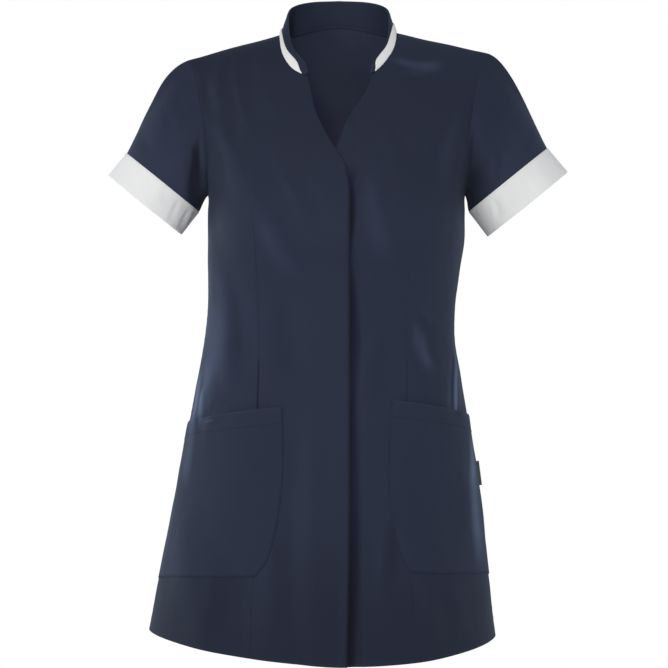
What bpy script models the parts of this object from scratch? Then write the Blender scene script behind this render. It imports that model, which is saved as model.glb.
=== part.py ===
import math
from collections import namedtuple

import bpy
from mathutils import Vector

# A short-sleeved work tunic, hanging open and rounded as it does when worn.
# Metres, +Z up, the front faces -Y; the origin is level with the neck ends of the shoulder seams.

NAME = "work_tunic"
CLOTH = 0.0015            # wall of every cloth piece
SEAM_GAP = 0.0003         # between pieces that are sewn together
CUFF_CLOTH = 0.0020       # the turn-up is folded double
TRIM_CLOTH = 0.0010

ARMPIT = -0.201           # height where the side seams end
HEM_DIP = {-1: 0.027, 1: 0.019}       # how far the hem rises from the middle to each side
HEM_HALF = {-1: 0.235, 1: 0.1956}
HEM_POWER = {-1: 1.5, 1: 2.4}
HEM_FRONT = -0.768
HEM_BACK = -0.764
NECK_HALF = 0.073         # neck end of a shoulder seam
SHOULDER_NECK = {-1: 0.0, 1: 0.0025}  # heights of each shoulder seam's ends
SHOULDER_TIP = {-1: -0.031, 1: -0.0225}
TIP_HALF = 0.185
NAPE_CREST = 0.048        # how far the shoulder line is carried up behind the neck
THROAT_CREST = 0.010
NAPE_DROP = 0.120         # share of the height the neckline lies below that crest

LOWER_ROWS = 18           # hem to armpit
SKIRT_ROWS = 8            # hem to where the front side panels are parted, behind the pockets
NECK_SLIT_ROWS = 8        # armpit to the collar's tip
NECKLINE_ROWS = 6         # collar's tip to the shoulder seam
UPPER_ROWS = NECK_SLIT_ROWS + NECKLINE_ROWS
CENTRE_COLUMNS = 6
SIDE_COLUMNS = 7
BACK_SHOULDER_COLUMNS = 3
BACK_NECK_COLUMNS = 8
SLEEVE_ROWS = 8
CUFF_ROWS = 3
COLLAR_ROWS = 2           # above the trim
TRIM_ROWS = 2

OVERLAP_LIFT = 0.0024     # right front over the left one
OVERLAP_START = -0.050
OVERLAP_FULL = -0.026
OVERLAP_TOP = -0.110
EDGE_GAPE = 0.0022

POCKET_CLEARANCE = 0.0009
POCKET_ROWS = 10
POCKET_COLUMNS = 9
POCKET_GAPE = 0.0035

TAB_WIDTH = 0.006
TAB_HEIGHT = 0.030
TAB_THICKNESS = 0.0012
TAB_TOP = -0.533

# The body's half widths, half depths and fullness of the rounding, from the hem up.
Section = namedtuple("Section", "height left right front back fullness")
SECTIONS = (
    Section(-0.790, 0.2450, 0.2030, 0.152, 0.150, 2.10),
    Section(-0.741, 0.2356, 0.1956, 0.147, 0.146, 2.10),
    Section(-0.661, 0.2206, 0.1863, 0.140, 0.141, 2.10),
    Section(-0.581, 0.2044, 0.1763, 0.133, 0.136, 2.15),
    Section(-0.501, 0.1888, 0.1656, 0.126, 0.129, 2.20),
    Section(-0.461, 0.1813, 0.1588, 0.121, 0.121, 2.20),
    Section(-0.421, 0.1736, 0.1524, 0.115, 0.111, 2.20),
    Section(-0.381, 0.1668, 0.1460, 0.110, 0.102, 2.20),
    Section(-0.341, 0.1626, 0.1462, 0.109, 0.098, 2.20),
    Section(-0.301, 0.1622, 0.1508, 0.115, 0.099, 2.30),
    Section(-0.261, 0.1620, 0.1568, 0.127, 0.103, 2.50),
    Section(-0.221, 0.1619, 0.1581, 0.133, 0.108, 2.50),
    Section(-0.201, 0.1622, 0.1585, 0.132, 0.109, 2.50),
    Section(-0.170, 0.1760, 0.1725, 0.129, 0.110, 2.45),
    Section(-0.110, 0.1900, 0.1870, 0.124, 0.110, 2.40),
    Section(-0.060, 0.1950, 0.1930, 0.122, 0.110, 2.40),
    Section(0.040, 0.1980, 0.1960, 0.122, 0.110, 2.40),
)

# The largest folds: where each is centred, how far it leans, its size, and + for a ridge.
Fold = namedtuple("Fold", "face x height lean width length relief")
FOLDS = (
    Fold("front", -0.128, -0.105, 0.30, 0.016, 0.070, -0.0030),
    Fold("front", -0.098, -0.135, 0.55, 0.018, 0.060, -0.0022),
    Fold("front", -0.045, -0.235, -0.60, 0.020, 0.060, -0.0020),
    Fold("front", -0.150, -0.390, 0.05, 0.016, 0.075, 0.0030),
    Fold("front", 0.138, -0.430, 0.10, 0.012, 0.050, 0.0032),
    Fold("front", 0.105, -0.390, 0.20, 0.014, 0.040, -0.0024),
    Fold("front", 0.120, -0.075, 0.50, 0.018, 0.060, 0.0024),
    Fold("front", 0.160, -0.580, -0.15, 0.020, 0.070, 0.0040),
    Fold("front", -0.175, -0.680, -0.20, 0.028, 0.110, 0.0045),
    Fold("front", 0.110, -0.700, 0.15, 0.026, 0.100, 0.0040),
    Fold("front", -0.062, -0.700, -0.10, 0.026, 0.110, -0.0035),
    Fold("back", -0.085, -0.330, 0.10, 0.020, 0.110, -0.0045),
    Fold("back", 0.078, -0.345, -0.12, 0.018, 0.100, -0.0042),
    Fold("back", 0.000, -0.400, 0.00, 0.030, 0.080, 0.0030),
    Fold("back", -0.120, -0.640, -0.15, 0.030, 0.140, 0.0060),
    Fold("back", 0.010, -0.680, 0.05, 0.026, 0.110, -0.0045),
    Fold("back", 0.115, -0.650, 0.15, 0.028, 0.130, 0.0055),
    Fold("back", -0.110, -0.130, 0.45, 0.018, 0.060, -0.0028),
    Fold("back", 0.118, -0.120, -0.50, 0.018, 0.055, -0.0026),
)

# Free edges and seams on the front, from the bottom up.
Point = namedtuple("Point", "x height")
Station = namedtuple("Station", "length x height")
RIGHT_OVERLAP = (Point(0.0104, -0.768), Point(0.0141, -0.572), Point(0.0142, -0.333),
                 Point(0.0141, ARMPIT))
RIGHT_SLIT = (Point(0.0141, ARMPIT), Point(0.0125, -0.1877), Point(0.0081, -0.1713),
              Point(-0.0014, -0.1547), Point(-0.0170, -0.1284), Point(-0.0292, -0.0992),
              Point(-0.0336, -0.0772), Point(-0.0379, -0.0601), Point(-0.0412, -0.0586))
RIGHT_NECKLINE = (Point(-0.0412, -0.0586), Point(-0.0559, -0.0510), Point(-0.0642, -0.0408),
                  Point(-0.0695, -0.0290), Point(-0.0722, -0.0140), Point(-0.0730, 0.0))
LEFT_UNDERLAP = (Point(-0.0200, -0.768), Point(-0.0200, -0.333), Point(-0.0200, ARMPIT))
LEFT_SLIT = (Point(-0.0200, ARMPIT), Point(-0.0150, -0.1800), Point(-0.0070, -0.1600),
             Point(0.0010, -0.1435), Point(0.0046, -0.1335), Point(0.0090, -0.1209),
             Point(0.0175, -0.1044), Point(0.0289, -0.0876), Point(0.0385, -0.0690),
             Point(0.0425, -0.0560))
LEFT_NECKLINE = (Point(0.0425, -0.0560), Point(0.0540, -0.0460), Point(0.0630, -0.0341),
                 Point(0.0690, -0.0227), Point(0.0722, -0.0100), Point(0.0730, 0.0025))
RIGHT_PRINCESS = (Point(-0.1050, -0.7600), Point(-0.1017, -0.6614), Point(-0.0970, -0.4627),
                  Point(-0.0955, -0.3800), Point(-0.0969, -0.3326), Point(-0.1003, -0.2561),
                  Point(-0.1055, ARMPIT), Point(-0.1184, -0.1578), Point(-0.1260, -0.1200),
                  Point(-0.1300, -0.0850), Point(-0.1335, -0.0550), Point(-0.1360, -0.0176))
LEFT_PRINCESS = (Point(0.0914, -0.7620), Point(0.0892, -0.6911), Point(0.0872, -0.5725),
                 Point(0.0832, -0.4531), Point(0.0831, -0.3800), Point(0.0844, -0.3327),
                 Point(0.0897, -0.2562), Point(0.0985, ARMPIT), Point(0.1144, -0.1579),
                 Point(0.1240, -0.1200), Point(0.1294, -0.0850), Point(0.1335, -0.0550),
                 Point(0.1360, -0.0116))

# The back's long seams; the left one mirrors the right one.
BACK_PRINCESS = (Point(0.1060, -0.7640), Point(0.0960, -0.6600), Point(0.0850, -0.5000),
                 Point(0.0760, -0.3800), Point(0.0800, -0.3000), Point(0.0890, ARMPIT),
                 Point(0.1040, -0.1400), Point(0.1180, -0.0850), Point(0.1290, -0.0400),
                 Point(0.1330, -0.0100))

# How far round the figure the armhole is at each share of the height from armpit to shoulder.
Armhole = namedtuple("Armhole", "share front back")
ARMHOLE = (
    Armhole(0.00, 90.0, 90.0),
    Armhole(0.03, 77.0, 79.0),
    Armhole(0.10, 68.5, 72.0),
    Armhole(0.20, 62.8, 67.8),
    Armhole(0.40, 58.6, 65.0),
    Armhole(0.58, 58.4, 64.6),
    Armhole(0.70, 59.4, 65.2),
    Armhole(0.82, 61.6, 66.4),
    Armhole(0.92, 65.0, 68.2),
    Armhole(1.00, 69.8, 69.8),
)

# The sleeve's end: its middle, half its width across the view, half its depth, and its tilt.
Sleeve = namedtuple("Sleeve", "x y height half_width half_depth tilt cuff_depth")
SLEEVES = {
    -1: Sleeve(-0.2188, 0.004, -0.1838, 0.0578, 0.0520, 38.9, 0.0365),
    1: Sleeve(0.2125, 0.004, -0.1806, 0.0627, 0.0540, 38.9, 0.0395),
}
SLEEVE_BULGE = {-1: 0.80, 1: 0.70}
SLEEVE_LIFT = 1.2         # how steeply the underarm leaves the body
SLEEVE_SPREAD = 0.0004    # how much the cuff widens from its seam to its edge
CUFF_PROUD = 0.0006

# The collar's top edge, from its front tip round to the middle of the back.
Rim = namedtuple("Rim", "share x y height")
COLLAR_RIM = (
    Rim(0.00, 0.0385, -0.0735, -0.0548),
    Rim(0.09, 0.0415, -0.0660, -0.0435),
    Rim(0.18, 0.0462, -0.0565, -0.0325),
    Rim(0.28, 0.0525, -0.0430, -0.0200),
    Rim(0.38, 0.0580, -0.0240, -0.0035),
    Rim(0.48, 0.0628, -0.0060, 0.0145),
    Rim(0.58, 0.0636, 0.0140, 0.0305),
    Rim(0.70, 0.0555, 0.0335, 0.0410),
    Rim(0.84, 0.0340, 0.0520, 0.0483),
    Rim(1.00, 0.0000, 0.0600, 0.0510),
)
# How much of the collar's height the trim covers, from the front tips to the back.
Trim = namedtuple("Trim", "share height")
TRIM_SHARE = (
    Trim(0.00, 0.50),
    Trim(0.25, 0.54),
    Trim(0.45, 0.42),
    Trim(0.70, 0.36),
    Trim(1.00, 0.34),
)
TRIM_START = 0.07

# The pockets' inner edges from the bottom up, and their bottom and mouth at the side seam.
RIGHT_POCKET_INNER = (Point(-0.0987, -0.6640), Point(-0.0837, -0.6408), Point(-0.0706, -0.5850),
                      Point(-0.0661, -0.5398), Point(-0.0661, -0.4613))
LEFT_POCKET_INNER = (Point(0.0857, -0.6590), Point(0.0749, -0.6374), Point(0.0630, -0.5850),
                     Point(0.0600, -0.5398), Point(0.0640, -0.4530))
RIGHT_POCKET_SIDE = (-0.6790, -0.4890)
LEFT_POCKET_SIDE = (-0.6740, -0.4800)

Colour = namedtuple("Colour", "red green blue roughness")
COLOURS = {
    "navy_cloth": Colour(0.020, 0.026, 0.060, 0.82),
    "white_cloth": Colour(0.760, 0.760, 0.760, 0.78),
    "tab_cloth": Colour(0.100, 0.105, 0.120, 0.75),
}


def side_of(x):
    return -1 if x < 0 else 1


def smooth(share):
    share = min(1.0, max(0.0, share))
    return share * share * (3.0 - 2.0 * share)


def along(rows, column, position, key=0):
    """A smooth curve through one column of a table, read at a position of its key column."""
    keys = [row[key] for row in rows]
    values = [getattr(row, column) for row in rows]
    if position <= keys[0]:
        return values[0]
    if position >= keys[-1]:
        return values[-1]
    i = max(k for k in range(len(keys) - 1) if keys[k] <= position)
    span = keys[i + 1] - keys[i]

    def slope(k):
        low, high = max(k - 1, 0), min(k + 1, len(keys) - 1)
        return (values[high] - values[low]) / (keys[high] - keys[low])

    share = (position - keys[i]) / span
    first, last = slope(i) * span, slope(i + 1) * span
    return (values[i] * (2 * share**3 - 3 * share**2 + 1)
            + first * (share**3 - 2 * share**2 + share)
            + values[i + 1] * (3 * share**2 - 2 * share**3)
            + last * (share**3 - share**2))


def hem_height(x, face):
    side = side_of(x)
    share = (abs(x) / HEM_HALF[side])**HEM_POWER[side]
    start = HEM_FRONT if face == "front" else HEM_BACK
    return start + share * (HEM_FRONT + HEM_DIP[side] - start)


def crest_height(x, face):
    """The line over the shoulder where front and back meet; behind the neck it rises."""
    side = side_of(x)
    if abs(x) >= NECK_HALF:
        share = (abs(x) - NECK_HALF) / (TIP_HALF - NECK_HALF)
        return SHOULDER_NECK[side] + share * (SHOULDER_TIP[side] - SHOULDER_NECK[side])
    share = smooth(0.5 + 0.5 * x / NECK_HALF)
    ends = SHOULDER_NECK[-1] + share * (SHOULDER_NECK[1] - SHOULDER_NECK[-1])
    return ends + (NAPE_CREST if face == "back" else THROAT_CREST) * (1.0 - (x / NECK_HALF)**2)


def height_at(x, level, face):
    """Level -1 is the hem, 0 the armpit and 1 the shoulder seam."""
    if level < 0.0:
        return ARMPIT + level * (ARMPIT - hem_height(x, face))
    return ARMPIT + level * (crest_height(x, face) - ARMPIT)


def level_at(x, height, face):
    if height < ARMPIT:
        return (height - ARMPIT) / (ARMPIT - hem_height(x, face))
    return (height - ARMPIT) / (crest_height(x, face) - ARMPIT)


def half_width(side, height):
    return along(SECTIONS, "left" if side < 0 else "right", height)


def angle_at(x, height):
    """How far round the figure from its middle line a point lies, in radians, signed like x."""
    share = min(1.0, abs(x) / half_width(side_of(x), height))
    full = along(SECTIONS, "fullness", height)
    return side_of(x) * math.asin(share**(full / 2.0))


def over_shoulder(x, height, face):
    """1 down on the chest, falling to 0 at the crest of the shoulder."""
    crest = crest_height(x, face)
    share = min(1.0, max(0.0, (crest - height) / (crest - ARMPIT)))
    power = 0.62
    if face == "back":
        power = 0.30 + 0.32 * smooth(abs(x) / 0.12)
    return (1.0 - (1.0 - share)**1.5)**power


def fold_relief(x, height, face):
    relief = 0.0
    for fold in FOLDS:
        if fold.face != face:
            continue
        down = height - fold.height
        across = x - fold.x - fold.lean * down
        relief += fold.relief * math.exp(-(across / fold.width)**2 - (down / fold.length)**2)
    return relief


def overlap_lift(x, height):
    """How far the right front stands off so that it clears the left front under it."""
    lift = OVERLAP_LIFT * smooth((x - OVERLAP_START) / (OVERLAP_FULL - OVERLAP_START))
    lift *= smooth((OVERLAP_TOP - height) / 0.040)
    gape = EDGE_GAPE * smooth((x - OVERLAP_FULL) / 0.040) * smooth((-0.170 - height) / 0.060)
    gape *= 0.55 + 0.45 * smooth((-0.35 - height) / 0.30)
    return lift + gape


def figure(angle, level, face, lift=None):
    """A point on the cloth's outer face, found by its angle round the figure and its level."""
    side = -1 if angle < 0 else 1
    turn = abs(math.sin(angle))
    x = side * half_width(side, -0.3) * turn
    for _ in range(8):
        height = height_at(x, level, face)
        full = along(SECTIONS, "fullness", height)
        x = side * half_width(side, height) * turn**(2.0 / full)
    full = along(SECTIONS, "fullness", height)
    deep = along(SECTIONS, face, height) * max(0.0, math.cos(angle))**(2.0 / full)
    deep *= over_shoulder(x, height, face)
    front_back = -1.0 if face == "front" else 1.0
    fade = smooth((crest_height(x, face) - height) / 0.030) * smooth(math.cos(angle) / 0.30)
    relief = fold_relief(x, height, face) * fade
    out = Vector((x * 0.7, front_back * deep, 0.0))
    point = Vector((x, front_back * deep, height))
    if out.length > 1e-6:
        point += out.normalized() * relief
    if lift:
        point.y -= lift(x, height)
    return point


def outward(angle, level, face, lift=None):
    """The cloth's outward direction at the same place."""
    side = -1 if angle < 0 else 1
    if abs(angle) > math.pi / 2 - 1e-6:
        step = 0.004
        low = figure(angle, level - step, face)
        high = figure(angle, min(level + step, 1.0), face)
        climb = (high - low).normalized()
        return Vector((side, 0.0, -side * climb.x / max(climb.z, 0.2))).normalized()
    if level > 1.0 - 1e-6:
        x = figure(angle, level, face).x
        rise = (SHOULDER_TIP[side] - SHOULDER_NECK[side]) / (TIP_HALF - NECK_HALF)
        return Vector((-rise * side_of(x), 0.0, 1.0)).normalized()
    step = 0.004
    up = figure(angle, min(level + step, 1.0), face, lift) - figure(angle, level - step, face, lift)
    low = max(angle - step, -math.pi / 2)
    high = min(angle + step, math.pi / 2)
    across = figure(high, level, face, lift) - figure(low, level, face, lift)
    normal = across.cross(up)
    if face == "back":
        normal = -normal
    return normal.normalized()


def polyline(points, count):
    """Points spaced evenly along a table's line, rounded where it turns."""
    rows = [Station(0.0, points[0].x, points[0].height)]
    for a, b in zip(points, points[1:]):
        step = math.hypot(b.x - a.x, b.height - a.height)
        rows.append(Station(rows[-1].length + step, b.x, b.height))
    found = []
    for i in range(count + 1):
        at = rows[-1].length * i / count
        found.append(Point(along(rows, "x", at), along(rows, "height", at)))
    return found


def by_height(points, height):
    return along(points, "x", height, key=1)


def to_edge(points):
    """A list of angles and levels on the front for a list of points."""
    return [(angle_at(p.x, p.height), min(1.0, level_at(p.x, p.height, "front")))
            for p in points]


def lower_levels():
    return [-1.0 + i / LOWER_ROWS for i in range(LOWER_ROWS)]


def level_edge(points, levels, face="front", side=1):
    """The angle at each level along an edge that climbs through a table of points."""
    edge = []
    for level in levels:
        x = side * points[0].x
        for _ in range(8):
            x = side * by_height(points, height_at(x, level, face))
        edge.append((angle_at(x, height_at(x, level, face)), level))
    return edge


def side_edge(side, face):
    """The side seam, then the armhole, from the hem to the shoulder's tip."""
    edge = [(side * math.pi / 2, level) for level in lower_levels()]
    for i in range(UPPER_ROWS + 1):
        level = 0.5 - 0.5 * math.cos(math.pi * i / UPPER_ROWS)
        edge.append((side * math.radians(along(ARMHOLE, face, level)), level))
    return edge


def princess_edge(points, face="front", side=1):
    levels = lower_levels() + [i / UPPER_ROWS for i in range(UPPER_ROWS + 1)]
    return level_edge(points, levels, face, side)


def opening_edge(straight, slit, neckline):
    edge = level_edge(straight, lower_levels())
    edge += to_edge(polyline(slit, NECK_SLIT_ROWS))
    edge += to_edge(polyline(neckline, NECKLINE_ROWS))[1:]
    edge[-1] = (edge[-1][0], 1.0)
    return edge


def panel_grid(first, last, columns, face="front", lift=None):
    """Outer points and outward directions between two edges of a panel."""
    points, normals = [], []
    for start, end in zip(first, last):
        row, across = [], []
        for i in range(columns + 1):
            share = i / columns
            angle = start[0] + share * (end[0] - start[0])
            level = start[1] + share * (end[1] - start[1])
            row.append(figure(angle, level, face, lift))
            across.append(outward(angle, level, face, lift))
        points.append(row)
        normals.append(across)
    return points, normals


def back_centre_grid(right, left):
    """Between the back's long seams; towards the top the middle columns bend round the neck."""
    total = 2 * BACK_SHOULDER_COLUMNS + BACK_NECK_COLUMNS
    neck = angle_at(NECK_HALF, 0.0)
    tip = right[-1][0]
    points, normals = [], []
    for start, end in zip(right, left):
        level = start[1]
        blend = smooth((level + 0.2) / 1.0)
        row, across = [], []
        for i in range(total + 1):
            even = i / total
            if i <= BACK_SHOULDER_COLUMNS:
                top = tip + (-neck - tip) * i / BACK_SHOULDER_COLUMNS
            elif i <= BACK_SHOULDER_COLUMNS + BACK_NECK_COLUMNS:
                top = -neck + 2 * neck * (i - BACK_SHOULDER_COLUMNS) / BACK_NECK_COLUMNS
            else:
                rest = i - BACK_SHOULDER_COLUMNS - BACK_NECK_COLUMNS
                top = neck + (-tip - neck) * rest / BACK_SHOULDER_COLUMNS
            share = (1 - blend) * even + blend * (top - tip) / (-2 * tip)
            angle = start[0] + share * (end[0] - start[0])
            dip = 0.0
            if level > 0.0:
                inside = max(0.0, 1.0 - (math.sin(top) / math.sin(neck))**2)
                dip = NAPE_DROP * level**2 * inside**0.8
            row.append(figure(angle, level - dip, "back"))
            across.append(outward(angle, level - dip, "back"))
        points.append(row)
        normals.append(across)
    return points, normals


def pull_in(points, wrap=False):
    """Moves a grid's free borders half a seam gap into the piece."""
    rows, columns = len(points), len(points[0])
    moved = [[Vector(p) for p in row] for row in points]
    for j in range(rows):
        for i in range(columns):
            if not wrap and i in (0, columns - 1):
                inner = points[j][1 if i == 0 else columns - 2]
                moved[j][i] += (inner - points[j][i]).normalized() * SEAM_GAP / 2
            if j in (0, rows - 1):
                inner = points[1 if j == 0 else rows - 2][i]
                moved[j][i] += (inner - points[j][i]).normalized() * SEAM_GAP / 2
    return moved


def raw_normals(points, wrap):
    """Directions square to a grid, from its neighbours."""
    rows, columns = len(points), len(points[0])
    normals = []
    for j in range(rows):
        row = []
        for i in range(columns):
            low, high = max(j - 1, 0), min(j + 1, rows - 1)
            if wrap:
                before, after = (i - 1) % columns, (i + 1) % columns
            else:
                before, after = max(i - 1, 0), min(i + 1, columns - 1)
            normal = (points[j][after] - points[j][before]).cross(
                points[high][i] - points[low][i])
            row.append(normal.normalized())
        normals.append(row)
    return normals


def shell(name, outer, inner, wrap, colour, collection):
    """A closed solid between two matching grids."""
    rows, columns = len(outer), len(outer[0])
    vertices = [p for row in outer for p in row] + [p for row in inner for p in row]
    offset = rows * columns

    def at(j, i, layer):
        return layer * offset + j * columns + i % columns

    faces = []
    spans = columns if wrap else columns - 1
    for j in range(rows - 1):
        for i in range(spans):
            quad = (at(j, i, 0), at(j, i + 1, 0), at(j + 1, i + 1, 0), at(j + 1, i, 0))
            faces.append(quad)
            faces.append((at(j, i, 1), at(j + 1, i, 1), at(j + 1, i + 1, 1), at(j, i + 1, 1)))
    for i in range(spans):
        faces.append((at(0, i + 1, 0), at(0, i, 0), at(0, i, 1), at(0, i + 1, 1)))
        last = rows - 1
        faces.append((at(last, i, 0), at(last, i + 1, 0), at(last, i + 1, 1), at(last, i, 1)))
    if not wrap:
        end = columns - 1
        for j in range(rows - 1):
            faces.append((at(j, 0, 0), at(j + 1, 0, 0), at(j + 1, 0, 1), at(j, 0, 1)))
            faces.append((at(j + 1, end, 0), at(j, end, 0), at(j, end, 1), at(j + 1, end, 1)))
    mesh = bpy.data.meshes.new(name)
    mesh.from_pydata([tuple(v) for v in vertices], [], faces)
    mesh.update()
    volume = sum(p.center.dot(p.normal) * p.area for p in mesh.polygons)
    if volume < 0.0:
        mesh.flip_normals()
    for polygon in mesh.polygons:
        polygon.use_smooth = True
    item = bpy.data.objects.new(name, mesh)
    item.data.materials.append(colour)
    collection.objects.link(item)
    return item


def offset_grid(points, directions, distance):
    return [[p + d * distance for p, d in zip(row, ways)]
            for row, ways in zip(points, directions)]


def make_panel(name, points, normals, materials, collection):
    """A panel whose edges all stop half a seam gap short."""
    outer = pull_in(points)
    inner = offset_grid(outer, normals, -CLOTH)
    shell(name, outer, inner, False, materials["navy_cloth"], collection)


def part_rows(grid, row):
    """Parts a panel's grid at a row into what is below it and what is above."""
    points, normals = grid
    return (points[:row + 1], normals[:row + 1]), (points[row:], normals[row:])


def armhole_loop(front, back, side):
    """The armhole's points, the way off the panel there, which way its cloth faces, and rows."""
    rows = [(front, k) for k in range(UPPER_ROWS + 1)]
    rows += [(back, k) for k in range(UPPER_ROWS - 1, 0, -1)]
    points, faces = [], []
    for (grid, normals), k in rows:
        j = LOWER_ROWS + k
        outer_last = side * grid[j][-1].x > side * grid[j][0].x
        end = -1 if outer_last else 0
        points.append(grid[j][end])
        faces.append(normals[j][end])
    loop = []
    for i, point in enumerate(points):
        edge = points[(i + 1) % len(points)] - points[i - 1]
        off = side * edge.cross(faces[i]).normalized()
        loop.append((point, off, faces[i], rows[i][1]))
    return loop


def make_sleeve(side, name, cuff_name, front, back, materials, collection):
    """A short sleeve lofted from the armhole to a tilted oval, and the cuff beyond it."""
    size = SLEEVES[side]
    loop = armhole_loop(front, back, side)
    count = len(loop)
    tilt = math.radians(size.tilt)
    inward = Vector((-side * math.cos(tilt), 0.0, -math.sin(tilt)))     # towards the armpit
    axis = Vector((side * math.sin(tilt), 0.0, -math.cos(tilt)))
    middle = Vector((size.x, size.y, size.height))

    lengths = [0.0]
    for k in range(count):
        lengths.append(lengths[-1] + (loop[(k + 1) % count][0] - loop[k][0]).length)
    half = lengths[UPPER_ROWS]

    def ring(k, reach, spread):
        if k <= UPPER_ROWS:
            turn = math.pi * lengths[k] / half
            depth = -math.sin(turn)
        else:
            turn = math.pi * (lengths[count] - lengths[k]) / (lengths[count] - half)
            depth = math.sin(turn)
        wide = size.half_width + spread
        deep = size.half_depth + spread
        return (middle + axis * reach + inward * wide * math.cos(turn)
                + Vector((0.0, depth * deep, 0.0)))

    grid = []
    for j in range(SLEEVE_ROWS + 1):
        share = j / SLEEVE_ROWS
        row = []
        for k in range(count):
            edge, off, facing, climb = loop[k]
            up = smooth(climb / UPPER_ROWS * 1.15 - 0.1)
            start = edge + off * SEAM_GAP * (2.0 - 1.5 * up)
            start += facing * SEAM_GAP * 1.3 * (1.0 - up)
            end = ring(k, 0.0, 0.0)
            chord = end - start
            low = (chord.normalized() + facing * SLEEVE_LIFT) * (1.0 - up)
            leave = (off * up + low).normalized() * chord.length * SLEEVE_BULGE[side]
            arrive = (axis + inward * 0.18 * up) * chord.length * (0.35 + 0.65 * up)
            row.append(start * (2 * share**3 - 3 * share**2 + 1)
                       + leave * (share**3 - 2 * share**2 + share)
                       + end * (3 * share**2 - 2 * share**3)
                       + arrive * (share**3 - share**2))
        grid.append(row)
    normals = raw_normals(grid, True)
    if normals[SLEEVE_ROWS // 2][UPPER_ROWS].dot(grid[4][UPPER_ROWS] - grid[4][0]) < 0.0:
        normals = [[-n for n in row] for row in normals]
    for k in range(count):
        edge, off, facing, climb = loop[k]
        inner_way = -normals[0][k]
        towards = inner_way.dot(-off)
        if towards > 0.0:
            inner_way = (inner_way + off * towards).normalized()
        normals[0][k] = -inner_way
        last = normals[-1][k]
        normals[-1][k] = (last - axis * last.dot(axis)).normalized()
    inner = offset_grid(grid, normals, -CLOTH)
    shell(name, grid, inner, True, materials["navy_cloth"], collection)

    cuff = []
    for j in range(CUFF_ROWS + 1):
        share = j / CUFF_ROWS
        reach = SEAM_GAP + share * size.cuff_depth
        row = [ring(k, reach, CUFF_PROUD + SLEEVE_SPREAD * share) for k in range(count)]
        cuff.append(row)
    directions = []
    for row in cuff:
        centre = sum(row, Vector()) / count
        directions.append([(p - centre).normalized() for p in row])
    inside = offset_grid(cuff, directions, -CUFF_CLOTH)
    shell(cuff_name, cuff, inside, True, materials["white_cloth"], collection)


def neck_loop(right_front, left_front, back):
    """The neckline from the right tip round the back to the left one."""
    loop = []
    first = LOWER_ROWS + NECK_SLIT_ROWS
    last = len(right_front[0]) - 1
    for j in range(first, last + 1):
        row = right_front[0][j]
        loop.append((row[0], (row[0] - row[1]).normalized()))
    top, below = back[0][-1], back[0][-2]
    start = BACK_SHOULDER_COLUMNS
    for i in range(start + 1, start + BACK_NECK_COLUMNS):
        loop.append((top[i], (top[i] - below[i]).normalized()))
    for j in range(last, first - 1, -1):
        row = left_front[0][j]
        loop.append((row[0], (row[0] - row[1]).normalized()))
    return loop


def make_collar(loop, materials, collection):
    """The stand from the neckline up to its rim, and the trim on the outside of its foot."""
    count = len(loop)
    lengths = [0.0]
    for a, b in zip(loop, loop[1:]):
        lengths.append(lengths[-1] + (b[0] - a[0]).length)
    half = 0.5 * lengths[-1]
    def climb_at(j, share):
        """The stand's rows: its foot, the trim's rows, then evenly up to the rim."""
        top = along(TRIM_SHARE, "height", share)
        if j == 0:
            return 0.0
        if j <= TRIM_ROWS + 1:
            return TRIM_START + (top - TRIM_START) * (j - 1) / TRIM_ROWS
        return top + (1.0 - top) * (j - TRIM_ROWS - 1) / COLLAR_ROWS

    grid = []
    for j in range(TRIM_ROWS + COLLAR_ROWS + 2):
        row = []
        for k in range(count):
            side = -1 if lengths[k] < half else 1
            share = 1.0 - abs(lengths[k] - half) / half
            foot = loop[k][0] + loop[k][1] * SEAM_GAP / 2 + Vector((0.0, 0.0, SEAM_GAP / 2))
            rim = Vector((side * along(COLLAR_RIM, "x", share) + 0.001,
                          along(COLLAR_RIM, "y", share), along(COLLAR_RIM, "height", share)))
            row.append(foot.lerp(rim, climb_at(j, share)))
        grid.append(row)
    normals = raw_normals(grid, False)
    if normals[TRIM_ROWS][count // 2].y < 0.0:
        normals = [[-n for n in row] for row in normals]
    inner = offset_grid(grid, normals, -CLOTH)
    shell("collar_stand", grid, inner, False, materials["navy_cloth"], collection)

    ways = normals[1:TRIM_ROWS + 2]
    lower = offset_grid(grid[1:TRIM_ROWS + 2], ways, SEAM_GAP)
    outer = offset_grid(lower, ways, TRIM_CLOTH)
    shell("collar_trim", outer, lower, False, materials["white_cloth"], collection)


def make_pocket(name, inner_edge, side, side_heights, materials, collection):
    """A patch from its inner edge to the side seam, its mouth standing a little open."""
    rows = []
    normals = []
    bottom, mouth = inner_edge[0].height, inner_edge[-1].height
    for j in range(POCKET_ROWS + 1):
        rise = j / POCKET_ROWS
        height = bottom + rise * (mouth - bottom)
        x = by_height(inner_edge, height)
        start = (angle_at(x, height), level_at(x, height, "front"))
        at_side = side_heights[0] + rise * (side_heights[1] - side_heights[0])
        end_x = side * half_width(side, at_side)
        end = (side * math.radians(89.6), level_at(end_x, at_side, "front"))
        row = []
        facing = []
        for i in range(POCKET_COLUMNS + 1):
            share = i / POCKET_COLUMNS
            angle = start[0] + share * (end[0] - start[0])
            level = start[1] + share * (end[1] - start[1])
            point = figure(angle, level, "front")
            normal = outward(angle, level, "front")
            gape = POCKET_GAPE * smooth((rise - 0.55) / 0.45)
            gape *= math.sin(math.pi * min(1.0, share * 1.05))**0.8 if 0 < share < 0.95 else 0
            row.append(point + normal * (POCKET_CLEARANCE + gape))
            facing.append(normal)
        rows.append(row)
        normals.append(facing)
    outer = offset_grid(rows, normals, CLOTH)
    shell(name, outer, rows, False, materials["navy_cloth"], collection)


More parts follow.
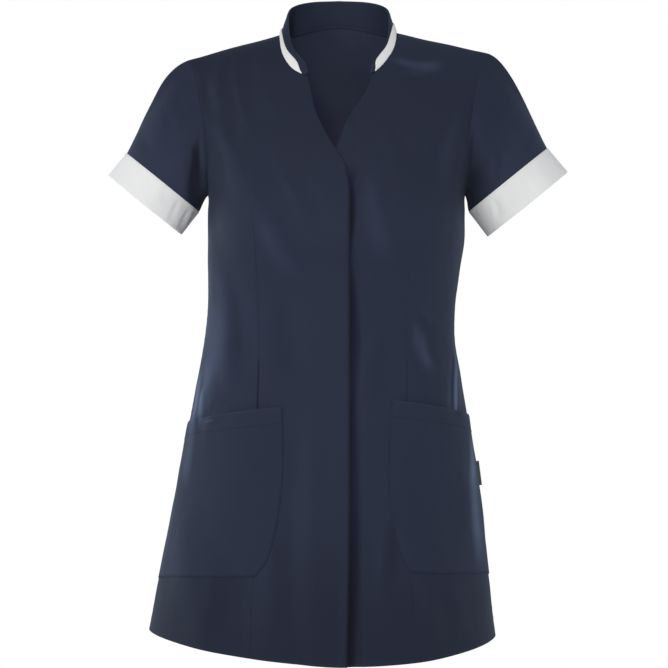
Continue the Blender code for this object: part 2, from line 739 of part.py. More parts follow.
def make_tab(materials, collection):
    """A plain folded tab standing out of the left side seam."""
    rows = 4
    outer, inner = [], []
    for j in range(rows + 1):
        height = TAB_TOP - TAB_HEIGHT + TAB_HEIGHT * j / rows
        level = level_at(half_width(1, height), height, "front")
        foot = figure(math.pi / 2, level, "front")
        facing = outward(math.pi / 2, level, "front")
        near = foot + facing * SEAM_GAP
        far = near + facing * TAB_WIDTH
        front = Vector((0.0, -TAB_THICKNESS / 2, 0.0))
        outer.append([near + front, far + front])
        inner.append([near - front, far - front])
    shell("side_tab", outer, inner, False, materials["tab_cloth"], collection)


def make_material(name, colour):
    material = bpy.data.materials.new(name)
    material.use_nodes = True
    shader = material.node_tree.nodes["Principled BSDF"]
    shader.inputs["Base Color"].default_value = (colour.red, colour.green, colour.blue, 1.0)
    shader.inputs["Roughness"].default_value = colour.roughness
    shader.inputs["Metallic"].default_value = 0.0
    return material


def build():
    for item in list(bpy.data.objects):
        bpy.data.objects.remove(item, do_unlink=True)
    collection = bpy.data.collections.new(NAME)
    bpy.context.scene.collection.children.link(collection)
    materials = {name: make_material(name, colour) for name, colour in COLOURS.items()}

    right_open = opening_edge(RIGHT_OVERLAP, RIGHT_SLIT, RIGHT_NECKLINE)
    left_open = opening_edge(LEFT_UNDERLAP, LEFT_SLIT, LEFT_NECKLINE)
    right_seam = princess_edge(RIGHT_PRINCESS)
    left_seam = princess_edge(LEFT_PRINCESS)

    right_centre = panel_grid(right_open, right_seam, CENTRE_COLUMNS, lift=overlap_lift)
    left_centre = panel_grid(left_open, left_seam, CENTRE_COLUMNS + 1)
    right_side = panel_grid(right_seam, side_edge(-1, "front"), SIDE_COLUMNS)
    left_side = panel_grid(left_seam, side_edge(1, "front"), SIDE_COLUMNS)
    right_back_seam = princess_edge(BACK_PRINCESS, "back", -1)
    left_back_seam = princess_edge(BACK_PRINCESS, "back", 1)
    back_centre = back_centre_grid(right_back_seam, left_back_seam)
    right_back = panel_grid(right_back_seam, side_edge(-1, "back"), SIDE_COLUMNS, "back")
    left_back = panel_grid(left_back_seam, side_edge(1, "back"), SIDE_COLUMNS, "back")

    make_panel("right_front_centre", *right_centre, materials, collection)
    make_panel("left_front_centre", *left_centre, materials, collection)
    for name, grid in (("right_front", right_side), ("left_front", left_side)):
        skirt, upper = part_rows(grid, SKIRT_ROWS)
        make_panel(name + "_skirt", *skirt, materials, collection)
        make_panel(name + "_side", *upper, materials, collection)
    make_panel("back_centre", *back_centre, materials, collection)
    make_panel("right_back_side", *right_back, materials, collection)
    make_panel("left_back_side", *left_back, materials, collection)
    make_sleeve(-1, "right_sleeve", "right_cuff", right_side, right_back, materials, collection)
    make_sleeve(1, "left_sleeve", "left_cuff", left_side, left_back, materials, collection)
    make_collar(neck_loop(right_centre, left_centre, back_centre), materials, collection)
    make_pocket("right_pocket", RIGHT_POCKET_INNER, -1, RIGHT_POCKET_SIDE, materials, collection)
    make_pocket("left_pocket", LEFT_POCKET_INNER, 1, LEFT_POCKET_SIDE, materials, collection)
    make_tab(materials, collection)


build()
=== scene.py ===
import math

import bpy
import numpy as np
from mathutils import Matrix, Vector


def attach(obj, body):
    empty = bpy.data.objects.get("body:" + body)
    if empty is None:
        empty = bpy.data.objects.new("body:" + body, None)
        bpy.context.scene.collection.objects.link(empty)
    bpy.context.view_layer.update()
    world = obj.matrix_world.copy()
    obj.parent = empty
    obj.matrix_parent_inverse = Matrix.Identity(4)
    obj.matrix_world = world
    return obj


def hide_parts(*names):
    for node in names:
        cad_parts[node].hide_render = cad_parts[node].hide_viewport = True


# A short-sleeved work tunic, dressed as it hangs when worn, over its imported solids.
# Metres, +Z up, the front faces -Y, the origin is level with the neck ends of the shoulder seams.
# Sides are -1 for the wearer's right, which is on the left in the view, and 1 for the other.

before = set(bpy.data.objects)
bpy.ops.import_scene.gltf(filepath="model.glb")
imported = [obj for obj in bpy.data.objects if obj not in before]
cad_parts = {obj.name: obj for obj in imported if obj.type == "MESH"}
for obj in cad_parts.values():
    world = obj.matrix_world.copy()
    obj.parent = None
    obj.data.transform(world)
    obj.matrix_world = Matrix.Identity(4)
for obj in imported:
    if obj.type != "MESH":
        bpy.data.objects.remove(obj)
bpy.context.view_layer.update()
print("solids loaded:", len(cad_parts))

body = {
    "wall": 0.0011,
    "armpit": -0.201,
    # how far the hem rises to each side, right then left
    "hemDip": (0.027, 0.019),
    "hemHalf": (0.235, 0.1956),
    "hemPower": (1.5, 2.4),
    "hemFront": -0.768,
    "hemBack": -0.764,
    "neckHalf": 0.073,
    "shoulderNeck": (0.0, 0.0025),
    "shoulderTip": (-0.031, -0.0225),
    "tipHalf": 0.185,
    "crest": {"front": 0.010, "back": 0.048},
    "napeDrop": 0.120,
    # height, half width right, half width left, depth front, depth back, fullness
    "sections": np.array([
        (-0.79, 0.245, 0.203, 0.152, 0.15, 2.1), (-0.741, 0.2356, 0.1956, 0.147, 0.146, 2.1),
        (-0.661, 0.2206, 0.1863, 0.14, 0.141, 2.1), (-0.581, 0.2044, 0.1763, 0.133, 0.136, 2.15),
        (-0.501, 0.1888, 0.1656, 0.126, 0.129, 2.2), (-0.461, 0.1813, 0.1588, 0.121, 0.121, 2.2),
        (-0.421, 0.1736, 0.1524, 0.115, 0.111, 2.2), (-0.381, 0.1668, 0.146, 0.11, 0.102, 2.2),
        (-0.341, 0.1626, 0.1462, 0.109, 0.098, 2.2), (-0.301, 0.1622, 0.1508, 0.115, 0.099, 2.3),
        (-0.261, 0.162, 0.1568, 0.127, 0.103, 2.5), (-0.221, 0.1619, 0.1581, 0.133, 0.108, 2.5),
        (-0.201, 0.1622, 0.1585, 0.132, 0.109, 2.5), (-0.17, 0.176, 0.1725, 0.129, 0.11, 2.45),
        (-0.11, 0.19, 0.187, 0.124, 0.11, 2.4), (-0.06, 0.195, 0.193, 0.122, 0.11, 2.4),
        (0.04, 0.198, 0.196, 0.122, 0.11, 2.4)]),
}

# Broad folds: x, height, lean, width, length, relief. The same ones shape the solids.
folds = {
    "front": np.array([
        (-0.128, -0.105, 0.3, 0.016, 0.07, -0.003), (-0.098, -0.135, 0.55, 0.018, 0.06, -0.0022),
        (-0.045, -0.235, -0.6, 0.02, 0.06, -0.002), (-0.15, -0.39, 0.05, 0.016, 0.075, 0.003),
        (0.138, -0.43, 0.1, 0.012, 0.05, 0.0032), (0.105, -0.39, 0.2, 0.014, 0.04, -0.0024),
        (0.12, -0.075, 0.5, 0.018, 0.06, 0.0024), (0.16, -0.58, -0.15, 0.02, 0.07, 0.004),
        (-0.175, -0.68, -0.2, 0.028, 0.11, 0.0045), (0.11, -0.7, 0.15, 0.026, 0.1, 0.004),
        (-0.062, -0.7, -0.1, 0.026, 0.11, -0.0035)]),
    "back": np.array([
        (-0.085, -0.33, 0.1, 0.02, 0.11, -0.0045), (0.078, -0.345, -0.12, 0.018, 0.1, -0.0042),
        (0.0, -0.4, 0.0, 0.03, 0.08, 0.003), (-0.12, -0.64, -0.15, 0.03, 0.14, 0.006),
        (0.01, -0.68, 0.05, 0.026, 0.11, -0.0045), (0.115, -0.65, 0.15, 0.028, 0.13, 0.0055),
        (-0.11, -0.13, 0.45, 0.018, 0.06, -0.0028), (0.118, -0.12, -0.5, 0.018, 0.055, -0.0026)]),
}

# Creases: x and height of both ends, bow to the side, width, and relief (- is a trough).
creases = {
    "front": np.array([
        # wearer's right chest and armhole
        (-0.163, -0.056, -0.158, -0.108, 0.004, 0.0065, -0.0022),
        (-0.138, -0.04, -0.118, -0.15, 0.006, 0.0075, -0.0016),
        (-0.118, -0.032, -0.092, -0.128, 0.005, 0.0085, -0.0014),
        (-0.15, -0.12, -0.126, -0.215, -0.006, 0.009, 0.001),
        (-0.1, -0.15, -0.046, -0.262, 0.01, 0.011, -0.0012),
        (-0.06, -0.175, -0.03, -0.255, -0.006, 0.008, -0.0012),
        (-0.09, -0.235, -0.052, -0.305, 0.006, 0.01, 0.0012),
        (-0.152, -0.208, -0.136, -0.3, 0.006, 0.009, -0.0016),
        # wearer's right waist and the pull down to the pocket
        (-0.147, -0.29, -0.146, -0.425, -0.005, 0.0095, 0.0018),
        (-0.12, -0.32, -0.112, -0.44, 0.004, 0.01, -0.0012),
        (-0.156, -0.43, -0.176, -0.495, 0.003, 0.0048, 0.0026),
        (-0.147, -0.455, -0.17, -0.5, 0.003, 0.005, -0.0016),
        (-0.132, -0.462, -0.16, -0.484, -0.003, 0.0045, 0.001),
        (-0.07, -0.33, -0.062, -0.43, 0.004, 0.012, -0.001),
        # wearer's right skirt
        (-0.125, -0.64, -0.14, -0.755, 0.004, 0.013, -0.0024),
        (-0.195, -0.56, -0.212, -0.72, 0.006, 0.012, -0.0024),
        (-0.09, -0.56, -0.098, -0.75, -0.004, 0.014, 0.001),
        (-0.04, -0.48, -0.044, -0.74, 0.003, 0.013, 0.0008),
        # wearer's left chest
        (0.085, -0.052, 0.128, -0.04, 0.004, 0.007, 0.0012),
        (0.06, -0.11, 0.094, -0.2, -0.006, 0.01, -0.0008),
        (0.148, -0.105, 0.128, -0.2, 0.006, 0.009, 0.0008),
        (0.04, -0.18, 0.06, -0.29, 0.006, 0.011, 0.0012),
        (0.146, -0.215, 0.14, -0.31, -0.004, 0.008, 0.0014),
        # wearer's left waist
        (0.093, -0.362, 0.112, -0.42, 0.005, 0.006, 0.002),
        (0.094, -0.348, 0.121, -0.378, 0.003, 0.006, -0.0015),
        (0.141, -0.39, 0.146, -0.478, -0.002, 0.0036, 0.0028),
        (0.132, -0.4, 0.137, -0.48, -0.002, 0.005, -0.0014),
        (0.06, -0.375, 0.05, -0.46, 0.004, 0.012, -0.001),
        # wearer's left skirt
        (0.168, -0.525, 0.176, -0.63, -0.009, 0.006, 0.0012),
        (0.156, -0.52, 0.16, -0.64, -0.008, 0.007, -0.0018),
        (0.07, -0.59, 0.074, -0.7, 0.004, 0.01, -0.0022),
        (0.125, -0.66, 0.138, -0.76, 0.004, 0.012, -0.0016)]),
    "back": np.array([
        (-0.15, -0.085, -0.105, -0.17, 0.008, 0.009, -0.0022),
        (-0.118, -0.06, -0.07, -0.15, 0.006, 0.0085, -0.0015),
        (-0.146, -0.215, -0.12, -0.31, 0.006, 0.009, -0.0018),
        (0.146, -0.095, 0.11, -0.185, -0.008, 0.009, -0.0022),
        (0.11, -0.055, 0.066, -0.12, -0.005, 0.008, -0.0014),
        (0.14, -0.225, 0.112, -0.3, -0.006, 0.009, -0.0017),
        (-0.1, -0.33, -0.028, -0.395, -0.008, 0.009, 0.0018),
        (0.104, -0.35, 0.034, -0.408, 0.008, 0.0085, 0.0017),
        (-0.06, -0.395, 0.052, -0.402, 0.006, 0.008, -0.0014),
        (-0.14, -0.42, -0.09, -0.46, -0.004, 0.007, 0.0014),
        (0.13, -0.425, 0.086, -0.47, 0.004, 0.0075, 0.0013),
        (-0.16, -0.52, -0.18, -0.7, 0.008, 0.013, -0.0028),
        (-0.06, -0.5, -0.072, -0.74, -0.006, 0.014, -0.0024),
        (0.055, -0.52, 0.066, -0.735, 0.006, 0.013, -0.0026),
        (0.15, -0.54, 0.164, -0.69, -0.006, 0.012, -0.0022),
        (0.02, -0.09, 0.012, -0.25, 0.008, 0.016, 0.0012)]),
}

# Painted highlights where the cloth catches the light, laid out like the creases, with how strongly.
paintedSheens = np.array([
    (0.143, -0.392, 0.1434, -0.5, 0.0, 0.0013, 1.2), (0.1388, -0.385, 0.1384, -0.492, 0.0, 0.004, 0.24),
    (0.1645, -0.495, 0.1665, -0.56, 0.0, 0.0036, 0.8),
    (0.1655, -0.528, 0.1745, -0.655, 0.001, 0.0062, 0.7),
    (0.103, -0.37, 0.112, -0.418, 0.002, 0.005, 0.16),
    (-0.16, -0.405, -0.172, -0.492, 0.0, 0.0085, 0.34), (-0.164, -0.24, -0.162, -0.44, 0.0, 0.009, 0.24),
    (-0.148, -0.33, -0.15, -0.455, 0.0, 0.013, 0.22), (-0.1642, -0.44, -0.17, -0.487, 0.0, 0.002, 0.52),
    (-0.1705, -0.42, -0.181, -0.492, 0.0, 0.0034, 0.82),
    (-0.178, -0.478, -0.19, -0.56, 0.0, 0.006, 0.36), (0.064, -0.036, 0.127, -0.043, 0.004, 0.006, 0.2),
    (-0.15, -0.478, -0.164, -0.4805, 0.0, 0.0012, 0.22)])

# How much darker the front is painted at each height, a painted shade where less light falls: height,
# right, left.
paintedShades = np.array([
    (-0.77, 0.36, 0.32), (-0.69, 0.34, 0.26), (-0.63, 0.16, 0.1), (-0.58, 0.0, 0.0), (-0.26, 0.0, 0.0),
    (-0.19, 0.2, 0.18), (-0.08, 0.27, 0.2), (-0.03, 0.3, 0.05), (0.04, 0.3, 0.05)])

# share of the height from armpit to shoulder, degrees round: front, back
armhole = np.array([
    (0.0, 90.0, 90.0), (0.03, 77.0, 79.0), (0.1, 68.5, 72.0), (0.2, 62.8, 67.8), (0.4, 58.6, 65.0),
    (0.58, 58.4, 64.6), (0.7, 59.4, 65.2), (0.82, 61.6, 66.4), (0.92, 65.0, 68.2), (1.0, 69.8, 69.8)])

# Lines of the panels, x and height from the bottom up; the back's is the same on both sides.
lines = {
    ("straight", -1): [
        (0.0104, -0.768), (0.0141, -0.572), (0.0142, -0.333), (0.0141, -0.201)],
    ("slit", -1): [
        (0.0141, -0.201), (0.0125, -0.1877), (0.0081, -0.1713), (-0.0014, -0.1547), (-0.017, -0.1284),
        (-0.0292, -0.0992), (-0.0336, -0.0772), (-0.0379, -0.0601), (-0.0412, -0.0586)],
    ("neckline", -1): [
        (-0.0412, -0.0586), (-0.0559, -0.051), (-0.0642, -0.0408), (-0.0695, -0.029), (-0.0722, -0.014),
        (-0.073, 0.0)],
    ("straight", 1): [
        (-0.02, -0.768), (-0.02, -0.333), (-0.02, -0.201)],
    ("slit", 1): [
        (-0.02, -0.201), (-0.015, -0.18), (-0.007, -0.16), (0.001, -0.1435), (0.0046, -0.1335),
        (0.009, -0.1209), (0.0175, -0.1044), (0.0289, -0.0876), (0.0385, -0.069), (0.0425, -0.056)],
    ("neckline", 1): [
        (0.0425, -0.056), (0.054, -0.046), (0.063, -0.0341), (0.069, -0.0227), (0.0722, -0.01),
        (0.073, 0.0025)],
    ("princess", -1): [
        (-0.105, -0.76), (-0.1017, -0.6614), (-0.097, -0.4627), (-0.0955, -0.38), (-0.0969, -0.3326),
        (-0.1003, -0.2561), (-0.1055, -0.201), (-0.1184, -0.1578), (-0.126, -0.12), (-0.13, -0.085),
        (-0.1335, -0.055), (-0.136, -0.0176)],
    "back": [
        (0.106, -0.764), (0.096, -0.66), (0.085, -0.5), (0.076, -0.38), (0.08, -0.3), (0.089, -0.201),
        (0.104, -0.14), (0.118, -0.085), (0.129, -0.04), (0.133, -0.01)],
    ("princess", 1): [
        (0.0914, -0.762), (0.0892, -0.6911), (0.0872, -0.5725), (0.0832, -0.4531), (0.0831, -0.38),
        (0.0844, -0.3327), (0.0897, -0.2562), (0.0985, -0.201), (0.1144, -0.1579), (0.124, -0.12),
        (0.1294, -0.085), (0.1335, -0.055), (0.136, -0.0116)],
}


def smooth(share):
    # 3s^2 - 2s^3 for s from 0 to 1
    share = np.clip(share, 0.0, 1.0)
    return share * share * (3.0 - 2.0 * share)


def bell(distance, width):
    # e^-(distance / width)^2
    return np.exp(-(distance / width) ** 2)


def unit(vectors):
    # each vector over its own length
    return vectors / np.maximum(np.linalg.norm(vectors, axis=-1, keepdims=True), 1e-12)


def cubic(s, start, leave, end, arrive):
    # from start to end for s from 0 to 1, with the slopes leave and arrive there
    return (start * (2 * s**3 - 3 * s**2 + 1) + leave * (s**3 - 2 * s**2 + s)
            + end * (3 * s**2 - 2 * s**3) + arrive * (s**3 - s**2))


def through(table, at, column=1, key=0):
    # a cubic from row to row; the slope at a row is the chord between its two neighbours
    table = np.asarray(table, float)
    keys, values = table[:, key], table[:, column]
    at = np.clip(at, keys[0], keys[-1])
    low = np.maximum(np.arange(len(keys)) - 1, 0)
    high = np.minimum(np.arange(len(keys)) + 1, len(keys) - 1)
    slopes = (values[high] - values[low]) / (keys[high] - keys[low])
    i = np.clip(np.searchsorted(keys, at, side="right") - 1, 0, len(keys) - 2)
    span = keys[i + 1] - keys[i]
    return cubic((at - keys[i]) / span, values[i], slopes[i] * span, values[i + 1], slopes[i + 1] * span)


def bySide(pair, side):
    # the first of the pair where side is negative, else the second
    return np.where(np.asarray(side) < 0, pair[0], pair[1])


def readBySide(table, at, side):
    # columns 1 and 2 of a table, for the right and the left
    return bySide([through(table, at, column) for column in (1, 2)], side)


def sideOf(x):
    # -1 or 1
    return np.where(np.asarray(x) < 0, -1.0, 1.0)


def hemHeight(x, face):
    # from the middle's height, a power of |x| up to the side's
    side = sideOf(x)
    share = (np.abs(x) / bySide(body["hemHalf"], side)) ** bySide(body["hemPower"], side)
    start = body["hemFront"] if face == "front" else body["hemBack"]
    return start + share * (body["hemFront"] + bySide(body["hemDip"], side) - start)


def crestHeight(x, face):
    # the shoulder line outside the neck, and an arch of 1 - (x / neck)^2 between its ends
    side = sideOf(x)
    share = (np.abs(x) - body["neckHalf"]) / (body["tipHalf"] - body["neckHalf"])
    neck, tip = bySide(body["shoulderNeck"], side), bySide(body["shoulderTip"], side)
    outside = neck + share * (tip - neck)
    low, high = body["shoulderNeck"]
    inside = low + smooth(0.5 + 0.5 * x / body["neckHalf"]) * (high - low)
    inside = inside + body["crest"][face] * (1.0 - (x / body["neckHalf"]) ** 2)
    return np.where(np.abs(x) >= body["neckHalf"], outside, inside)


def heightAt(x, level, face):
    # level -1 is the hem, 0 the armpit and 1 the shoulder seam
    down = body["armpit"] + level * (body["armpit"] - hemHeight(x, face))
    up = body["armpit"] + level * (crestHeight(x, face) - body["armpit"])
    return np.where(level < 0.0, down, up)


def levelAt(x, height, face):
    # heightAt solved for the level
    down = (height - body["armpit"]) / (body["armpit"] - hemHeight(x, face))
    up = (height - body["armpit"]) / (crestHeight(x, face) - body["armpit"])
    return np.where(height < body["armpit"], down, up)


def halfWidth(side, height):
    # read off the sections
    return readBySide(body["sections"], height, side)


def angleAt(x, height):
    # arcsine of (|x| / half width)^(fullness / 2), signed like x
    side = sideOf(x)
    share = np.minimum(1.0, np.abs(x) / halfWidth(side, height))
    return side * np.arcsin(share ** (through(body["sections"], height, 5) / 2.0))


def foldRelief(x, height, face):
    # each broad fold is a bell across its leaning line times a bell along it
    total = np.zeros(np.shape(x))
    for foldX, foldHeight, lean, width, length, relief in folds[face]:
        down = height - foldHeight
        across = x - foldX - lean * down
        total = total + relief * np.exp(-(across / width) ** 2 - (down / length) ** 2)
    return total


def creaseRelief(x, height, table):
    # a bell across a bowed line with a lower bank on each side, fading to both ends
    total = np.zeros(np.shape(x))
    for x0, z0, x1, z1, bow, width, relief in table:
        length = math.hypot(x1 - x0, z1 - z0)
        ux, uz = (x1 - x0) / length, (z1 - z0) / length
        along = ((x - x0) * ux + (height - z0) * uz) / length
        across = (x - x0) * uz - (height - z0) * ux - 4.0 * bow * along * (1.0 - along)
        fade = smooth((along + 0.12) / 0.42) * smooth((1.12 - along) / 0.50)
        narrow = width * (0.75 + 0.5 * along)
        banks = bell(np.abs(across) - 1.9 * narrow, 0.9 * narrow)
        total = total + relief * fade * (bell(across, narrow) - 0.22 * banks)
    return total


overlap = {"lift": 0.0024, "start": -0.050, "full": -0.026, "top": -0.110, "gape": 0.0022}


def overlapLift(x, height):
    # the right front stands off the left one under it, and its edge gapes a little more
    lift = overlap["lift"] * smooth((x - overlap["start"]) / (overlap["full"] - overlap["start"]))
    lift = lift * smooth((overlap["top"] - height) / 0.040)
    gape = overlap["gape"] * smooth((x - overlap["full"]) / 0.040) * smooth((-0.170 - height) / 0.060)
    return lift + gape * (0.55 + 0.45 * smooth((-0.35 - height) / 0.30))


def figure(angle, level, face, lifted=False):
    # x = side w sin(a)^(2/n), y = -+ d cos(a)^(2/n) over, with w, d and n read at the height
    angle, level = np.broadcast_arrays(np.asarray(angle, float), np.asarray(level, float))
    side = sideOf(angle)
    turn = np.abs(np.sin(angle))
    x = side * halfWidth(side, -0.3) * turn
    for _ in range(8):
        height = heightAt(x, level, face)
        full = through(body["sections"], height, 5)
        x = side * halfWidth(side, height) * turn ** (2.0 / full)
    deep = through(body["sections"], height, 3 if face == "front" else 4)
    deep = deep * np.maximum(0.0, np.cos(angle)) ** (2.0 / full)
    crest = crestHeight(x, face)
    share = np.clip((crest - height) / (crest - body["armpit"]), 0.0, 1.0)
    power = 0.62 if face == "front" else 0.30 + 0.32 * smooth(np.abs(x) / 0.12)
    deep = deep * (1.0 - (1.0 - share) ** 1.5) ** power
    y = -deep if face == "front" else deep
    fade = smooth((crest - height) / 0.030) * smooth(np.cos(angle) / 0.30)
    relief = foldRelief(x, height, face) * fade
    away = unit(np.stack([x * 0.7, y, np.zeros_like(x)], -1))
    points = np.stack([x, y, height], -1) + away * relief[..., None]
    if lifted:
        points[..., 1] -= overlapLift(x, height)
    return points


def outward(angle, level, face, lifted=False):
    # (change along the angle) x (change along the level); straight out at the side, up at the top
    angle, level = np.broadcast_arrays(np.asarray(angle, float), np.asarray(level, float))
    step = 0.004
    side = sideOf(angle)
    up = (figure(angle, np.minimum(level + step, 1.0), face, lifted)
          - figure(angle, level - step, face, lifted))
    across = (figure(np.minimum(angle + step, math.pi / 2), level, face, lifted)
              - figure(np.maximum(angle - step, -math.pi / 2), level, face, lifted))
    normal = unit(np.cross(across, up)) * (1.0 if face == "front" else -1.0)
    climb = unit(up)
    none = np.zeros_like(side)
    sideways = unit(np.stack([side, none, -side * climb[..., 0] / np.maximum(climb[..., 2], 0.2)], -1))
    rise = (bySide(body["shoulderTip"], side) - bySide(body["shoulderNeck"], side))
    rise = rise / (body["tipHalf"] - body["neckHalf"])
    upward = unit(np.stack([-rise * side, none, none + 1.0], -1))
    normal = np.where((level > 1.0 - 1e-6)[..., None], upward, normal)
    return np.where((np.abs(angle) > math.pi / 2 - 1e-6)[..., None], sideways, normal)


# Rows of a panel run from the hem to the armpit, past the collar's tip and on to the shoulder seam.
armpitRow, tipRow, topRow = 18.0, 26.0, 32.0
panelRows = np.concatenate([
    np.linspace(0.0, armpitRow, 127)[:-1],
    armpitRow + (topRow - armpitRow) * (1.0 - (1.0 - np.linspace(0.0, 1.0, 83)) ** 1.35)])


def rowLevel(rows):
    # -1 at the hem, 0 at the armpit and 1 at the top
    return np.where(rows < armpitRow, rows / armpitRow - 1.0, (rows - armpitRow) / (topRow - armpitRow))


def columnShares(count):
    # even columns, with closer ones by both seams
    close = np.array([0.0, 0.006, 0.014, 0.026])
    return np.concatenate([close, np.linspace(0.04, 0.96, count), 1.0 - close[::-1]])


def levelEdge(points, levels, face="front", side=1):
    # the angle at each level on a line read by its height
    x = np.full(len(levels), side * points[0][0])
    for _ in range(8):
        x = side * through(points, heightAt(x, levels, face), 0, 1)
    return angleAt(x, heightAt(x, levels, face))


def evenAlong(points, shares):
    # points at even lengths of a line, by a cubic of x and of height over the length
    points = np.asarray(points, float)
    lengths = np.concatenate([[0.0], np.cumsum(np.hypot(*np.diff(points, axis=0).T))])
    table = np.column_stack([lengths, points])
    at = shares * lengths[-1]
    return through(table, at, 1), through(table, at, 2)


def openingEdge(side, face, rows):
    # up the straight edge by level, then along the slit and the neckline by length
    level = np.minimum(rowLevel(rows), 0.0)
    angle = levelEdge(lines["straight", side], level)
    for part, first, last in (("slit", armpitRow, tipRow), ("neckline", tipRow, topRow)):
        here = (rows >= first) & (rows <= last)
        x, height = evenAlong(lines[part, side], (rows[here] - first) / (last - first))
        angle[here] = angleAt(x, height)
        level[here] = np.minimum(1.0, levelAt(x, height, face))
    level[rows >= topRow] = 1.0
    return angle, level


def princessEdge(side, face, rows):
    # the shaped seam, read by its height at each level; the back has one line for both sides
    level = rowLevel(rows)
    points, way = (lines["back"], side) if face == "back" else (lines["princess", side], 1)
    return levelEdge(points, level, face, way), level


def sideEdge(side, face, rows):
    # the side seam at 90 degrees, then the armhole, its levels closer at both ends
    level = rowLevel(rows)
    level = np.where(level < 0.0, level, 0.5 - 0.5 * np.cos(math.pi * np.clip(level, 0.0, 1.0)))
    turn = through(armhole, level, 1 if face == "front" else 2)
    return side * np.radians(np.where(level < 0.0, 90.0, turn)), level


def between(first, last, shares):
    # angle and level run evenly from one edge to the other
    return tuple(a[:, None] + shares * (b - a)[:, None] for a, b in zip(first, last))


def backCentreField(shares, rows):
    # even columns at the hem that turn into neck and shoulder columns towards the top
    first, last = (princessEdge(side, "back", rows) for side in (-1, 1))
    tip = float(princessEdge(-1, "back", np.array([topRow]))[0][0])
    neck = float(angleAt(np.array(body["neckHalf"]), np.array(0.0)))
    i = shares * 14.0
    top = np.where(i <= 3.0, tip + (-neck - tip) * i / 3.0,
                   np.where(i <= 11.0, -neck + 2.0 * neck * (i - 3.0) / 8.0,
                            neck + (-tip - neck) * (i - 11.0) / 3.0))
    level = first[1][:, None] + np.zeros_like(shares)
    blend = smooth((level + 0.2) / 1.0)
    share = (1.0 - blend) * shares + blend * (top - tip) / (-2.0 * tip)
    angle = first[0][:, None] + share * (last[0] - first[0])[:, None]
    inside = np.maximum(0.0, 1.0 - (np.sin(top) / math.sin(neck)) ** 2)
    dip = np.where(level > 0.0, body["napeDrop"] * level**2 * inside**0.8, 0.0)
    return angle, level - dip


def arcLengths(points, axis):
    # running sum of the distances between neighbours, from 0
    steps = np.linalg.norm(np.diff(points, axis=axis), axis=-1)
    start = np.zeros_like(np.take(steps, [0], axis))
    return np.concatenate([start, np.cumsum(steps, axis=axis)], axis)


def readLine(values, lengths, at):
    # x, y and z, each read straight between its values at the given lengths
    return np.stack([np.interp(at, lengths, values[:, k]) for k in range(3)], -1)


def gridNormals(points, like, wrap=False):
    # (next column - last column) x (next row - last row), turned to the side that 'like' faces
    across = np.roll(points, -1, 1) - np.roll(points, 1, 1) if wrap else np.gradient(points, axis=1)
    normal = unit(np.cross(across, np.gradient(points, axis=0)))
    return normal * np.where(np.sum(normal * like, -1, keepdims=True) < 0.0, -1.0, 1.0)


def closeUp(grid, *axes):
    # the first row or column again after the last
    for axis in axes:
        grid = np.concatenate([grid, np.take(grid, [0], axis)], axis)
    return grid


def quads(index):
    # the four corners of each cell of a grid of numbers
    return np.stack([index[:-1, :-1], index[:-1, 1:], index[1:, 1:], index[1:, :-1]], -1).reshape(-1, 4)


def facesIn(points, normals, row, column):
    # (to the next column) x (to the next row) points away from the normal
    here = points[row, column]
    around = np.cross(points[row, column + 1] - here, points[row + 1, column] - here)
    return np.dot(around, normals[row, column]) < 0.0


def makeMesh(name, vertices, faces, uv=None, tags=None, rounded=True):
    # tags hold one value for each vertex, uv one place for each corner of each face
    mesh = bpy.data.meshes.new(name)
    mesh.from_pydata(vertices.reshape(-1, 3).tolist(), [], faces)
    if uv is not None:
        mesh.uv_layers.new(name="UVMap").data.foreach_set("uv", uv.astype(np.float32).ravel())
    mesh.polygons.foreach_set("use_smooth", np.full(len(faces), rounded))
    for tag, values in (tags or {}).items():
        layer = mesh.attributes.new(tag, "FLOAT", "POINT")
        layer.data.foreach_set("value", values.reshape(-1).astype(np.float32))
    mesh.update()
    item = bpy.data.objects.new(name, mesh)
    bpy.context.scene.collection.objects.link(item)
    return item


